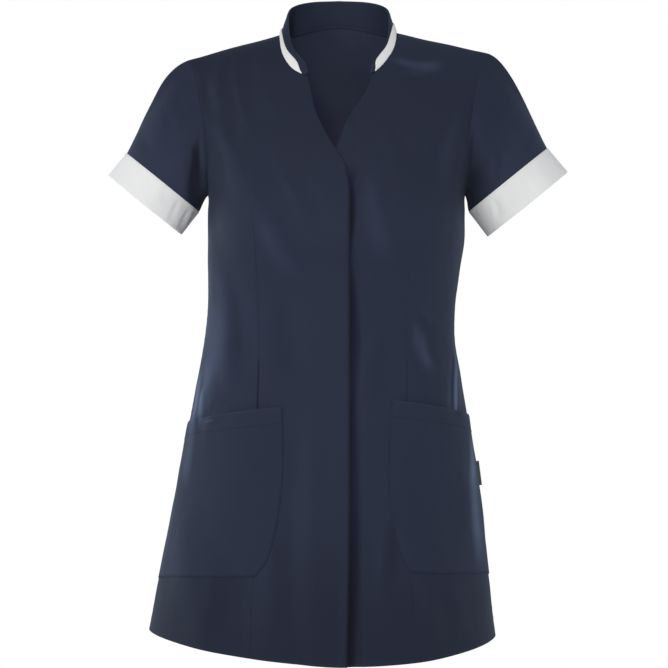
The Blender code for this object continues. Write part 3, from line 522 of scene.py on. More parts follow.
def shellMesh(name, outer, inner, normals, wrap=False, tags=None, paintedLightInside=False):
    # two matching grids with a rounded rim round their free borders; UVs are arc lengths in metres
    rows, columns = outer.shape[:2]
    offset = rows * columns
    closed = closeUp(outer, 1) if wrap else outer
    u = arcLengths(closed, 1)
    uv = np.stack([u - u[:, [u.shape[1] // 2]], arcLengths(closed, 0)], -1).reshape(-1, 2)
    uvIndex = np.arange(len(uv)).reshape(rows, -1)
    index = np.arange(offset).reshape(rows, columns)
    index = closeUp(index, 1) if wrap else index

    def borders(grid):
        if wrap:
            return [grid[0], grid[-1][::-1]]
        loop = np.concatenate([grid[0, :-1], grid[:-1, -1], grid[-1, :0:-1], grid[:0:-1, 0]])
        return [np.append(loop, loop[0])]

    # the rim's middle line stands a third of the wall beyond the border
    wall = np.linalg.norm(outer - inner, axis=-1, keepdims=True)
    beyond = np.zeros_like(outer)
    beyond[0] += unit(outer[0] - outer[1])
    beyond[-1] += unit(outer[-1] - outer[-2])
    if not wrap:
        beyond[:, 0] += unit(outer[:, 0] - outer[:, 1])
        beyond[:, -1] += unit(outer[:, -1] - outer[:, -2])
    middle = (0.5 * (outer + inner) + unit(beyond) * wall * 0.3).reshape(-1, 3)

    edges = borders(index)
    rims = [middle[edge[:-1]] for edge in edges]
    vertices = np.concatenate([outer.reshape(-1, 3), inner.reshape(-1, 3)] + rims)
    faces = [quads(index), quads(index)[:, ::-1] + offset]
    uvFaces = [quads(uvIndex), quads(uvIndex)[:, ::-1]]
    count = 2 * offset
    for edge, uvEdge in zip(edges, borders(uvIndex)):
        ids = np.append(np.arange(len(edge) - 1), 0) + count
        count += len(edge) - 1
        a, b, ua, ub = edge[:-1], edge[1:], uvEdge[:-1], uvEdge[1:]
        faces += [np.stack([b, a, ids[:-1], ids[1:]], -1),
                  np.stack([ids[1:], ids[:-1], a + offset, b + offset], -1)]
        uvFaces += [np.stack([ub, ua, ua, ub], -1)] * 2
    faces, uvFaces = np.concatenate(faces), np.concatenate(uvFaces)
    if facesIn(outer, normals, rows // 2, columns // 2):
        faces, uvFaces = faces[:, ::-1], uvFaces[:, ::-1]
    values = {}
    for tag, value in (tags or {}).items():
        outside, behind = value if isinstance(value, tuple) else (value, value)
        values[tag] = np.concatenate([outside.reshape(-1), behind.reshape(-1)]
                                     + [outside.reshape(-1)[edge[:-1]] for edge in edges])
    # the inner face is tagged to be painted lighter, standing in for the light that reaches it
    if paintedLightInside:
        values["inside"] = np.arange(len(vertices)) // offset == 1
    return makeMesh(name, vertices, faces.tolist(), uv[uvFaces.reshape(-1)], values)


def tubeMesh(name, points, way, tags=None, ends=False):
    # a closed section carried round a ring, or along a line with its two ends filled
    axes = (0,) if ends else (0, 1)
    index = np.arange(points.shape[0] * points.shape[1]).reshape(points.shape[:2])
    closed = closeUp(points, *axes)
    faces = quads(closeUp(index, *axes))
    uvFaces = quads(np.arange(closed.shape[0] * closed.shape[1]).reshape(closed.shape[:2]))
    caps = [index[:, 0], index[::-1, -1]] if ends else []
    if facesIn(points, way, len(points) // 4, points.shape[1] // 3):
        faces, uvFaces, caps = faces[:, ::-1], uvFaces[:, ::-1], [cap[::-1] for cap in caps]
    uv = np.stack([arcLengths(closed, 1), arcLengths(closed, 0)], -1).reshape(-1, 2)[uvFaces.reshape(-1)]
    uv = np.concatenate([uv, np.zeros((len(points) * len(caps), 2))])
    return makeMesh(name, points, faces.tolist() + [cap.tolist() for cap in caps], uv, tags)


stitch = {"pitch": 0.0034, "length": 0.0025, "radius": 0.00030, "near": 0.0006, "proud": 0.00008}


def threadMesh(name, runs):
    # small pointed beads along each run: three rings of six round a short line, and a pole at each end
    turn = np.arange(6) * math.pi / 3.0
    i = np.arange(6)
    j = (i + 1) % 6
    belt = np.stack([i, j, j + 6, i + 6], -1)
    tips = np.concatenate([np.stack([j, i, i * 0 + 18], -1), np.stack([i + 12, j + 12, i * 0 + 19], -1)])
    reach = np.array([-0.32, 0.0, 0.32])[:, None, None] * stitch["length"]
    girth = np.array([0.85, 1.0, 0.85])[:, None, None] * stitch["radius"]
    vertices, faces, count = [], [], 0
    for points, normals in runs:
        lengths = arcLengths(points, 0)
        total = max(1, int(lengths[-1] / stitch["pitch"]))
        at = (np.arange(total) + 0.5) * lengths[-1] / total
        centre = readLine(points, lengths, at)
        face = unit(readLine(normals, lengths, at))
        ahead, behind = (readLine(points, lengths, at + step) for step in (stitch["near"], -stitch["near"]))
        tangent = unit(ahead - behind)
        beside = unit(np.cross(face, tangent))
        rings = (centre[:, None, None] + tangent[:, None, None] * reach
                 + beside[:, None, None] * (girth * np.cos(turn)[:, None])
                 + face[:, None, None] * (girth * np.sin(turn)[:, None] * 0.8))
        half = tangent * stitch["length"] * 0.5
        poles = np.stack([centre - half, centre + half], 1)
        vertices.append(np.concatenate([rings.reshape(total, 18, 3), poles], 1).reshape(-1, 3))
        base = (np.arange(total) * 20 + count)[:, None, None]
        faces += (np.concatenate([belt, belt + 6]) + base).reshape(-1, 4).tolist()
        faces += (tips + base).reshape(-1, 3).tolist()
        count += total * 20
    return makeMesh(name, np.concatenate(vertices), faces)


class Socket:
    # a shader value that is reckoned with like a number
    def __init__(self, finish, link):
        self.finish, self.link = finish, link

    def reckon(self, operation, other):
        return self.finish.node("ShaderNodeMath", {"operation": operation}, {0: self, 1: other})

    def __add__(self, other):
        return self.reckon("ADD", other)

    def __sub__(self, other):
        return self.reckon("SUBTRACT", other)

    def __mul__(self, other):
        return self.reckon("MULTIPLY", other)

    __radd__ = __add__


class Finish:
    # one material; node() makes any node from its type, its settings and its sockets' values
    def __init__(self, name, constants):
        self.material = bpy.data.materials.new(name)
        self.material.use_nodes = True
        self.tree = self.material.node_tree
        self.shader = self.tree.nodes["Principled BSDF"]
        for key, value in constants.items():
            self.shader.inputs[key].default_value = value

    def put(self, socket, value):
        if isinstance(value, Socket):
            self.tree.links.new(value.link, socket)
        else:
            socket.default_value = value

    def node(self, kind, settings=None, inputs=None, output=0):
        made = self.tree.nodes.new(kind)
        for key, value in (settings or {}).items():
            setattr(made, key, value)
        for key, value in (inputs or {}).items():
            self.put(made.inputs[key], value)
        return Socket(self, made.outputs[output])

    def show(self, values):
        for name, value in values.items():
            self.put(self.shader.inputs[name], value)

    def blendColours(self, share, first, second):
        return self.node("ShaderNodeMix", {"data_type": "RGBA"}, {0: share, 6: first, 7: second}, 2)

    def noise(self, place, scale, detail=2.0, rough=0.5, distortion=0.0):
        return self.node("ShaderNodeTexNoise", {}, {"Vector": place, "Scale": scale, "Detail": detail,
                                                    "Roughness": rough, "Distortion": distortion})

    def tag(self, name):
        return self.node("ShaderNodeAttribute", {"attribute_name": name}, {}, 2)

    def objectPlace(self):
        return self.node("ShaderNodeTexCoord", {}, {}, 3)

    def stretch(self, place, scale):
        return self.node("ShaderNodeMapping", {}, {"Vector": place, "Scale": scale})

    def bump(self, height, distance=1.0, strength=1.0):
        return self.node("ShaderNodeBump", {}, {"Height": height, "Distance": distance,
                                                "Strength": strength})


# seam is dark seams and painted shade, the pale blue after it is worn edges and painted highlights, and
# inside is the inner face painted lighter to stand in for light
navy = {
    "deep": (0.015, 0.0198, 0.04, 1.0), "light": (0.025, 0.0322, 0.061, 1.0),
    "seam": (0.0061, 0.0078, 0.0155, 1.0), "worn": (0.108, 0.146, 0.24, 1.0),
    "inside": (0.0405, 0.047, 0.085, 1.0), "thread": 0.00100, "raise": 0.000022, "creasing": 0.0016,
}
# seam is dark seams and painted shade on the cuffs, the next colour worn edges, and inside an inner face
# painted lighter to stand in for light
white = {
    "deep": (0.75, 0.751, 0.752, 1.0), "light": (0.9, 0.9, 0.9, 1.0),
    "seam": (0.42, 0.43, 0.45, 1.0), "worn": (0.84, 0.845, 0.85, 1.0),
    "inside": (0.8, 0.8, 0.8, 1.0), "thread": 0.00085, "raise": 0.000018, "creasing": 0.0007,
}


def wovenFinish(name, look, constants):
    # colour = light and deep cloth by soft clouds and flecks, then an inner face painted lighter to stand
    # in for light, dark seams with painted shade, and paler worn edges with painted highlights
    # height = sin(warp) sin(weft) threads, plus soft creasing that a noise stretched downwards gives
    finish = Finish(name, constants)
    place = finish.objectPlace()
    flat = finish.node("ShaderNodeUVMap", {"uv_map": "UVMap"})
    parts = finish.tree.nodes.new("ShaderNodeSeparateXYZ")
    finish.put(parts.inputs[0], flat)
    warp, weft = (finish.node("ShaderNodeMath", {"operation": "SINE"},
                              {0: Socket(finish, parts.outputs[k]) * (2.0 * math.pi / look["thread"])})
                  for k in (0, 1))
    weave = warp * weft
    clouds = finish.noise(place, 9.0, 3.0, 0.55)
    flecks = finish.noise(place, 900.0, 2.0, 0.7)
    slubs = finish.noise(finish.stretch(flat, (160.0, 1600.0, 1.0)), 1.0, 2.0, 0.6)
    share = clouds * 0.55 + flecks * 0.30 + slubs * 0.25 + weave * 0.06 - 0.05
    colour = finish.blendColours(share, look["deep"], look["light"])
    # the inner face painted lighter, standing in for light
    colour = finish.blendColours(finish.tag("inside") * 0.9, colour, look["inside"])
    # dark seams, and painted shade where shade falls
    colour = finish.blendColours(finish.tag("seam"), colour, look["seam"])
    # paler worn edges, and painted highlights where the cloth would catch the light
    colour = finish.blendColours(finish.tag("edge") * (0.50 + clouds * 0.5), colour, look["worn"])
    stretched = finish.stretch(place, (1.0, 1.0, 0.45))
    soft = finish.noise(stretched, 17.0, 2.0, 0.45, 0.6)
    fine = finish.noise(stretched, 70.0, 2.0, 0.5, 0.3)
    height = weave * look["raise"] + soft * look["creasing"] + fine * (look["creasing"] * 0.16)
    finish.show({"Base Color": colour, "Roughness": 0.66 + clouds * 0.14 + flecks * 0.10,
                 "Normal": finish.bump(height)})
    return finish.material


def threadFinish(name, dark, light):
    # two tones of thread, twisted along by a fine noise
    finish = Finish(name, {"Sheen Weight": 0.05, "Sheen Roughness": 0.4, "Specular IOR Level": 0.2})
    twist = finish.noise(finish.objectPlace(), 1400.0, 1.0)
    finish.show({"Base Color": finish.blendColours(twist, dark, light), "Roughness": 0.5 + twist * 0.2,
                 "Normal": finish.bump(twist, 0.0002, 0.6)})
    return finish.material


navyCloth = wovenFinish("navy twill", navy, {
    "Sheen Weight": 0.10, "Sheen Roughness": 0.40, "Sheen Tint": (0.55, 0.72, 1.0, 1.0),
    "Specular IOR Level": 0.16})
whiteCloth = wovenFinish("white poplin", white, {
    "Sheen Weight": 0.10, "Sheen Roughness": 0.5, "Specular IOR Level": 0.3})
navyThread = threadFinish("navy thread", (0.009, 0.012, 0.025, 1.0), (0.02, 0.026, 0.049, 1.0))
whiteThread = threadFinish("white thread", (0.6, 0.61, 0.62, 1.0), (0.8, 0.8, 0.81, 1.0))
print("finishes made")


def dress(item, material, nodes=()):
    # its material, its body and the solids it stands for
    item.data.materials.append(material)
    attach(item, "root")
    if nodes:
        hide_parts(*nodes)


def ripple(points):
    # a slow uneven swell of half a millimetre, from three sines of the place
    x, y, z = points[..., 0], points[..., 1], points[..., 2]
    return (0.00035 * np.sin(61.0 * x + 23.0 * z + 1.3) * np.sin(37.0 * z - 19.0 * y)
            + 0.00025 * np.sin(97.0 * x - 41.0 * z + 0.4 + 30.0 * y)
            + 0.00020 * np.sin(29.0 * x + 118.0 * z + 2.1))


seams = {"dip": 0.0006, "reach": 0.0012, "pucker": 0.00018, "puckerPitch": 0.011, "puckerReach": 0.006,
         # painted highlight on ridges and painted shade in hollows, and the relief at which they are
         # strongest
         "ridge": 0.21, "hollow": 0.38, "full": 0.0030,
         # how much less the armhole edge dips, the dip where a seam has no painted shade, the left's share
         # of painted shade
         "calm": 0.7, "shallow": 0.25, "leftShade": 0.45,
         # reach and strength of the hem's pale edge, and of the painted shadow along the overlap's edge
         "hemEdge": (0.0022, 0.07), "lapShadow": (0.0028, 0.85),
         # how dark the long seams are painted at each height: seam colour with painted shade
         "heights": [-0.77, -0.69, -0.66, -0.62, -0.47, -0.462, -0.41, -0.4, -0.2, 0.04],
         "shades": [0.1, 0.22, 0.34, 0.22, 0.22, 0.85, 0.75, 0.2, 0.1, 0.06]}
# the trough in the left front beside the overlap, and how far it leans in at each height
trough = {"x": 0.0205, "width": 0.0060, "depth": 0.0042,
          "heights": [-0.768, -0.6, -0.45, -0.33, -0.24, -0.2, -0.16],
          "leans": [1.45, 1.15, 0.85, 0.8, 0.25, 0.95, 0.2]}
# the painted shade in the fold by each underarm: height, x of its darkest line, reach inwards and outwards,
# depth
underarmShade = {
    -1: np.array([
        (-0.212, -0.1795, 0.017, 0.008, 0.92), (-0.1976, -0.1808, 0.017, 0.0052, 0.94),
        (-0.1854, -0.1812, 0.016, 0.003, 0.92), (-0.1732, -0.18, 0.0134, 0.0026, 1.0),
        (-0.161, -0.1786, 0.0098, 0.002, 1.0), (-0.1487, -0.1778, 0.007, 0.0018, 0.85),
        (-0.1365, -0.1745, 0.004, 0.002, 0.3), (-0.129, -0.1735, 0.003, 0.002, 0.0)]),
    1: np.array([
        (-0.212, 0.161, 0.012, 0.024, 0.95), (-0.1976, 0.1615, 0.013, 0.024, 0.92),
        (-0.1854, 0.1622, 0.012, 0.024, 0.85), (-0.1732, 0.162, 0.011, 0.022, 0.68),
        (-0.161, 0.161, 0.009, 0.019, 0.46), (-0.1487, 0.161, 0.008, 0.016, 0.3),
        (-0.14, 0.161, 0.008, 0.016, 0.16), (-0.125, 0.161, 0.006, 0.012, 0.0)]),
}
# how deep the painted shadow beside the overlap is, and how far it reaches, at each height
underShade = np.array([
    (-0.7385, 0.95, 0.016), (-0.691, 0.95, 0.0175), (-0.631, 0.75, 0.0185), (-0.572, 0.55, 0.015),
    (-0.512, 0.62, 0.0115), (-0.452, 0.62, 0.0105), (-0.393, 0.68, 0.017), (-0.357, 0.78, 0.015),
    (-0.321, 0.72, 0.011), (-0.2855, 0.4, 0.003), (-0.268, 0.7, 0.003), (-0.25, 0.9, 0.007),
    (-0.232, 0.95, 0.01), (-0.214, 0.95, 0.0095), (-0.196, 0.7, 0.008), (-0.178, 0.4, 0.014),
    (-0.16, 0.0, 0.01)])


def shadeByUnderarm(side, x, height):
    # painted shade, full along a short plateau, then eased to nothing on both sides
    table = underarmShade[side]
    inward = -side * (x - through(table, height, 1))
    inner = 1.0 - smooth((inward / through(table, height, 2) - 0.40) / 1.05)
    outer = 1.0 - smooth(-inward / (1.45 * through(table, height, 3)))
    return np.maximum(0.0, through(table, height, 4)) * np.where(inward < 0.0, outer, inner)


def panelShape(name, field, face, sewn):
    # outer points = figure + normal * (creases + ripple - a narrow dip along each seam)
    angle, level = field
    lifted, onSide = name == "rightFrontCentre", "Side" in name
    points, normals = figure(angle, level, face, lifted), outward(angle, level, face, lifted)
    x, z = points[..., 0], points[..., 2]
    across, top = arcLengths(points, 1), arcLengths(points, 0)
    back, down = across[:, -1:] - across, top[-1:] - top
    below = crestHeight(x, face) - z
    calm = 1.0 - seams["calm"] * smooth((z - body["armpit"] + 0.004) / 0.02) * onSide
    dips = bell(back, seams["reach"]) * calm
    dips = np.maximum(dips, bell(down, seams["reach"]) * (level > 0.5))
    if sewn:
        dips = np.maximum(dips, bell(across, seams["reach"]))
    crease = creaseRelief(x, z, creases[face]) * smooth(below / 0.022) * smooth(np.cos(angle) / 0.16)
    relief = crease + ripple(points) * smooth(np.cos(angle) / 0.10)
    if onSide:
        # the armhole edge lies plain, as the sleeve's own edge does
        relief = relief * (1.0 - (1.0 - smooth(back / 0.016)) * smooth((z + 0.215) / 0.012))
    pucker = seams["pucker"] * np.sin(2 * math.pi * z / seams["puckerPitch"] + 3.0 * np.sin(z * 40.0))
    pucker = pucker * bell(np.minimum(across, back), seams["puckerReach"]) * (1.0 - dips)
    depth = np.interp(z, seams["heights"], seams["shades"]) * bySide((1.0, seams["leftShade"]), x)
    dip = seams["dip"] * (seams["shallow"] + depth) * dips
    relief = relief + (pucker - dip) * smooth(below / 0.008)
    if name == "leftFrontCentre":
        lean = np.interp(z, trough["heights"], trough["leans"])
        hollow = bell(x - trough["x"], trough["width"] * (0.5 + 0.5 * lean))
        relief = relief - trough["depth"] * lean * hollow
    points = points + normals * relief[..., None]
    reach, strength = seams["hemEdge"]
    # painted highlight along crease ridges
    ridge = seams["ridge"] * np.clip(crease / seams["full"], 0.0, 1.0)
    edge = np.maximum(bell(top, reach) * strength, ridge)
    # the seams' dark colour with painted shade
    shade = dips * depth
    if face == "front":
        # painted highlights along the listed sheens
        edge = np.clip(edge + np.maximum(0.0, creaseRelief(x, z, paintedSheens)), 0.0, 1.2)
        # painted shade down the front, darker where less light falls
        shade = np.maximum(shade, readBySide(paintedShades, z, x))
    # painted shade in crease hollows
    shade = np.maximum(shade, seams["hollow"] * np.clip(-crease / seams["full"], 0.0, 1.0))
    # painted shadow along the overlap's edge
    if lifted:
        reach, strength = seams["lapShadow"]
        shade = np.maximum(shade, strength * bell(across, reach) * smooth((-0.165 - z) / 0.02))
    # painted shade of the underarm fold on the panel
    if name == "leftFrontSide":
        shade = np.maximum(shade, shadeByUnderarm(1, x, z) * smooth((z + 0.212) / 0.008))
    # painted shadow on the left front beside the overlapping right one
    if name == "leftFrontCentre":
        start = through(lines["straight", -1] + [(0.0141, -0.15)], z, 0, 1)
        share = (x - start) / through(underShade, z, 2)
        shade = np.maximum(shade, through(underShade, z, 1) * (1.0 - smooth((share - 0.30) / 0.75)))
    return points, gridNormals(points, normals), {"seam": shade, "edge": edge}


# For each panel: the edges it runs between, its columns, the solids it stands for, the width and
# length of the rectangle that its cut fits in, the area it covers and what it hangs from.
panels = {
    "rightFrontCentre": ((openingEdge, princessEdge), 44, ["right_front_centre"],
                         (0.124, 0.847), 0.0883, ["backCentre"]),
    "leftFrontCentre": ((openingEdge, princessEdge), 46, ["left_front_centre"],
                        (0.123, 0.846), 0.0869, ["backCentre"]),
    "rightFrontSide": ((princessEdge, sideEdge), 54, ["right_front_side", "right_front_skirt"],
                       (0.205, 0.789), 0.0966, ["rightFrontCentre", "rightBackSide"]),
    "leftFrontSide": ((princessEdge, sideEdge), 50, ["left_front_side", "left_front_skirt"],
                      (0.184, 0.804), 0.0941, ["leftFrontCentre", "leftBackSide"]),
    "backCentre": ((), 84, ["back_centre"], (0.336, 0.811), 0.1549, []),
    "rightBackSide": ((princessEdge, sideEdge), 54, ["right_back_side"],
                      (0.202, 0.786), 0.1052, ["backCentre"]),
    "leftBackSide": ((princessEdge, sideEdge), 50, ["left_back_side"],
                     (0.167, 0.794), 0.0948, ["backCentre"]),
}
for name, (edges, columns, nodes, flat, area, on) in panels.items():
    side = -1 if name.startswith("right") else 1
    face = "front" if "Front" in name else "back"
    if edges:
        field = between(*(edge(side, face, panelRows) for edge in edges), columnShares(columns))
    else:
        field = backCentreField(columnShares(columns), panelRows)
    points, normals, tags = panelShape(name, field, face, openingEdge not in edges)
    item = shellMesh(name, points, points - normals * body["wall"], normals, tags=tags, paintedLightInside=True)
    dress(item, navyCloth, nodes)
print("panels made")


sleeve = {
    # painted light: how much lighter the sleeve is painted towards the cuff, the last value here
    "bulge": (0.8, 0.7), "lift": 1.2, "rows": 56, "around": 66, "paintedLight": 0.07,
    # how closely the rows stand by the armhole, and how far the upper lines lean in at the opening
    "crowd": 1.12, "inward": 0.18,
    # x, y, height, half width, half depth, tilt, cuff depth
    -1: (-0.2188, 0.004, -0.1838, 0.0578, 0.052, 38.9, 0.0365),
    1: (0.2125, 0.004, -0.1806, 0.0627, 0.054, 38.9, 0.0395),
    "creases": {
        -1: np.array([
            (-0.1735, -0.126, -0.176, -0.214, 0.001, 0.006, -0.005),
            (-0.19, -0.15, -0.187, -0.205, 0.003, 0.006, 0.0022),
            (-0.196, -0.06, -0.216, -0.125, 0.006, 0.009, 0.0014),
            (-0.215, -0.095, -0.205, -0.165, -0.004, 0.008, -0.0014),
            (-0.242, -0.115, -0.232, -0.15, 0.003, 0.008, -0.001)]),
        1: np.array([
            (0.168, -0.125, 0.167, -0.21, 0.001, 0.008, -0.006),
            (0.19, -0.145, 0.186, -0.205, -0.003, 0.006, 0.002),
            (0.2, -0.06, 0.222, -0.12, -0.006, 0.009, 0.0013),
            (0.218, -0.1, 0.206, -0.17, 0.004, 0.008, -0.0014),
            (0.243, -0.12, 0.236, -0.16, -0.003, 0.008, 0.001)])},
    # all round, and the longest way down
    "cuts": {-1: {"flat": (0.452, 0.143), "area": 0.0296, "on": ["rightFrontSide", "rightBackSide"]},
             1: {"flat": (0.468, 0.145), "area": 0.0295, "on": ["leftFrontSide", "leftBackSide"]}},
    # how dark the armhole seam is painted at each height, seam colour with painted shade in the fold
    "seamHeights": [-0.21, -0.14, -0.12, -0.09, -0.07, -0.05, 0.0],
    "seamShades": {-1: [0.04, 0.04, 0.18, 0.4, 0.3, 0.12, 0.05],
                   1: [0.5, 0.05, 0.05, 0.05, 0.05, 0.05, 0.05]},
    # columns' spacing round the sleeve by the underarm seam, that seam's reach, its share of the dip
    "spacing": 0.0032, "seamReach": 0.0014, "dip": 0.3,
    # the same creases behind, moved outwards and up, and softer
    "behind": (0.004, 0.012, 0.55),
}
sides = {-1: "right", 1: "left"}


def sleeveWays(side):
    # from the top of the opening across to the underarm, and out along the arm
    tilt = math.radians(sleeve[side][5])
    return (np.array([-side * math.cos(tilt), 0.0, -math.sin(tilt)]),
            np.array([side * math.sin(tilt), 0.0, -math.cos(tilt)]))


def armholeLoop(side):
    # the armhole from the armpit up the front and down the back, with the way off the panel there
    count, span = sleeve["around"], topRow - armpitRow
    k = np.concatenate([np.linspace(0.0, span, count + 1), np.linspace(span, 0.0, count + 1)[1:-1]])
    front = (np.arange(len(k)) <= count)[:, None]
    halves = []
    for face in ("front", "back"):
        angle, level = sideEdge(side, face, armpitRow + k)
        angle = np.where(k <= 0.0, side * math.pi / 2, angle)
        halves.append((figure(angle, level, face), outward(angle, level, face)))
    points, facing = (np.where(front, *both) for both in zip(*halves))
    edge = np.roll(points, -1, 0) - np.roll(points, 1, 0)
    return points, unit(side * np.cross(edge, facing)), facing, smooth(k / span * 1.15 - 0.1)[:, None]


def sleeveRing(side, lengths, spread):
    # a tilted oval: middle + inward * w cos(t) + across * d sin(t), t from the arc length
    x, y, height, halfWide, halfDeep, _, _ = sleeve[side]
    half, total = lengths[sleeve["around"]], lengths[-1]
    at = lengths[:-1]
    first = np.arange(len(at)) <= sleeve["around"]
    turn = np.where(first, math.pi * at / half, math.pi * (total - at) / (total - half))
    depth = np.where(first, -np.sin(turn), np.sin(turn))
    return (np.array([x, y, height]) + sleeveWays(side)[0] * ((halfWide + spread) * np.cos(turn))[:, None]
            + np.array([0.0, 1.0, 0.0]) * (depth * (halfDeep + spread))[:, None])


def sleeveShape(side):
    # each line is a cubic from the armhole to the oval: it leaves along the panel and lands square
    start, off, facing, up = armholeLoop(side)
    lengths = arcLengths(closeUp(start, 0), 0)
    inward, axis = sleeveWays(side)
    end = sleeveRing(side, lengths, 0.0)
    chord = end - start
    size = np.linalg.norm(chord, axis=-1, keepdims=True)
    low = (chord / size + facing * sleeve["lift"]) * (1.0 - up)
    leave = unit(off * up + low) * size * bySide(sleeve["bulge"], side)
    arrive = (axis + inward * sleeve["inward"] * up) * size * (0.35 + 0.65 * up)
    s = (np.linspace(0.0, 1.0, sleeve["rows"] + 1) ** sleeve["crowd"])[:, None, None]
    points = cubic(s, start, leave, end, arrive)
    return points, gridNormals(points, points - points.mean(1, keepdims=True), True), lengths


def fromUnderarm(count, step):
    # the way round from the underarm seam, which is the first column
    turn = np.arange(count)
    return np.minimum(turn, count - turn) * step


# the way round each armhole, which its cuff follows too
armLengths = {}
for side, sideName in sides.items():
    points, normals, armLengths[side] = sleeveShape(side)
    x, z = points[..., 0], points[..., 2]
    rowShare = np.linspace(0.0, 1.0, len(points))[:, None]
    held = smooth(rowShare / 0.10) * smooth((1.0 - rowShare) / 0.12)
    frontness, backness = (smooth(way * normals[..., 1] * 2.0 + 0.35) for way in (-1.0, 1.0))
    relief = creaseRelief(x, z, sleeve["creases"][side]) * frontness * held
    out, up, soft = sleeve["behind"]
    behind = creaseRelief(x + out * side, z - up, sleeve["creases"][side]) * soft
    relief = relief + behind * backness * held + ripple(points) * held
    underarm = fromUnderarm(points.shape[1], sleeve["spacing"])
    seam = bell(arcLengths(points, 0), seams["reach"])
    seam = np.maximum(seam, bell(underarm, sleeve["seamReach"])[None, :])
    relief = relief - sleeve["dip"] * seams["dip"] * seam * smooth(rowShare / 0.02)
    points = points + normals * relief[..., None]
    # the seams' dark line, with painted shade by height
    shade = seam * np.interp(z, sleeve["seamHeights"], sleeve["seamShades"][side])
    # painted shade in the underarm fold
    shade = np.maximum(shade, shadeByUnderarm(side, x, z) * smooth(0.8 - normals[..., 1] * 2.0))
    normals = gridNormals(points, normals, True)
    # painted light, lighter towards the cuff
    edge = np.broadcast_to(sleeve["paintedLight"] * smooth((rowShare - 0.35) / 0.45), shade.shape)
    item = shellMesh(sideName + "Sleeve", points, points - normals * body["wall"], normals, True,
                     {"seam": shade, "edge": edge})
    dress(item, navyCloth, [sideName + "_sleeve"])

cuff = {
    "proud": 0.0006, "spread": 0.0004, "thick": 0.0020, "round": 0.0009, "gap": 0.0003, "rows": 26,
    "stitches": 0.0022, "cuts": {-1: (0.352, 0.0365), 1: (0.373, 0.0395)},
    "spacing": 0.0028, "seamReach": 0.0012, "dip": 0.0005,
    # how soft the lower edge and the upper one look, and the two waves round it
    "edges": (0.0016, 0.0012), "waves": (0.0006, 0.0004),
    # how far out from the middle, and how much grey painted shade it has there
    "paintedShades": {-1: ((0.18, 0.218, 0.245), (0.13, 0.09, 0.0)),
              1: ((0.182, 0.212, 0.253), (0.0, 0.1, 0.02))},
    "creases": {
        -1: np.array([
            (-0.185, -0.219, -0.1985, -0.246, 0.0005, 0.0018, -0.0013),
            (-0.174, -0.218, -0.187, -0.239, 0.0004, 0.0018, -0.0012),
            (-0.18, -0.2185, -0.193, -0.243, 0.0004, 0.002, 0.001),
            (-0.196, -0.209, -0.208, -0.237, 0.0008, 0.0028, -0.0008),
            (-0.214, -0.186, -0.222, -0.214, 0.003, 0.005, 0.0008),
            (-0.232, -0.17, -0.244, -0.2, -0.003, 0.0065, -0.0008)]),
        1: np.array([
            (0.19, -0.206, 0.198, -0.234, -0.002, 0.003, -0.0011),
            (0.202, -0.198, 0.212, -0.228, 0.002, 0.004, 0.0009),
            (0.226, -0.18, 0.238, -0.212, -0.003, 0.006, -0.0008),
            (0.246, -0.16, 0.258, -0.19, 0.003, 0.006, 0.0007)])},
}


def cuffShape(side, lengths):
    # a flat closed loop of section, up the outside and down the inside, carried round the oval
    depth, r, rows, half = sleeve[side][6], cuff["round"], cuff["rows"], cuff["thick"] / 2
    bend = np.linspace(0.0, math.pi, 9)[1:-1]
    outside = np.linspace(r, depth - r, rows)
    reach = np.concatenate([outside, depth - r + r * np.sin(bend), outside[::-1], r - r * np.sin(bend)])
    drop = np.concatenate([np.zeros(rows), half * (1.0 - np.cos(bend)), np.full(rows, cuff["thick"]),
                           half * (1.0 + np.cos(bend))])
    plain = sleeveRing(side, lengths, cuff["proud"])
    away = unit(plain - plain.mean(0))
    out = plain[None] + sleeveWays(side)[1] * (cuff["gap"] + reach)[:, None, None]
    out = out + away[None] * (cuff["spread"] * reach / depth - drop)[:, None, None]
    return out, np.broadcast_to(away, out.shape), reach


for side, sideName in sides.items():
    name = sideName + "Cuff"
    points, away, reach = cuffShape(side, armLengths[side])
    x, z = points[..., 0], points[..., 2]
    share = (reach / sleeve[side][6])[:, None]
    count = points.shape[1]
    turn = np.linspace(0.0, 2 * math.pi, count, endpoint=False)[None, :]
    seam = bell(fromUnderarm(count, cuff["spacing"]), cuff["seamReach"])[None, :] * np.ones_like(share)
    front, behind = (creaseRelief(x, z - up, cuff["creases"][side]) for up in (0.0, 0.006))
    relief = front * smooth(-away[..., 1] * 2.0 + 0.4)
    relief = relief + behind * 0.6 * smooth(away[..., 1] * 2.0 + 0.4)
    slow, quick = cuff["waves"]
    relief = relief + slow * np.sin(3 * turn + 0.8) * share
    relief = relief + quick * np.sin(7 * turn + 2.0 * side) * share**2
    points = points + away * (relief - cuff["dip"] * seam)[..., None]
    low, high = cuff["edges"]
    edge = (bell(sleeve[side][6] - reach, low) + bell(reach, high))[:, None]
    # painted shade, greyer where less light falls on the cuff
    paintedCuffShade = np.interp(np.abs(x), *cuff["paintedShades"][side])
    item = tubeMesh(name, points, away, {"seam": np.maximum(seam * 0.6, paintedCuffShade),
                                         "edge": np.broadcast_to(edge, seam.shape)})
    dress(item, whiteCloth, [sideName + "_cuff"])
    row = int(np.argmin(np.abs(reach[:cuff["rows"]] - cuff["stitches"])))
    around, facing = closeUp(points[row], 0), closeUp(away[row], 0)
    threads = threadMesh(name + "Stitches", [(around + facing * stitch["proud"], facing)])
    dress(threads, whiteThread)
print("sleeves and cuffs made")


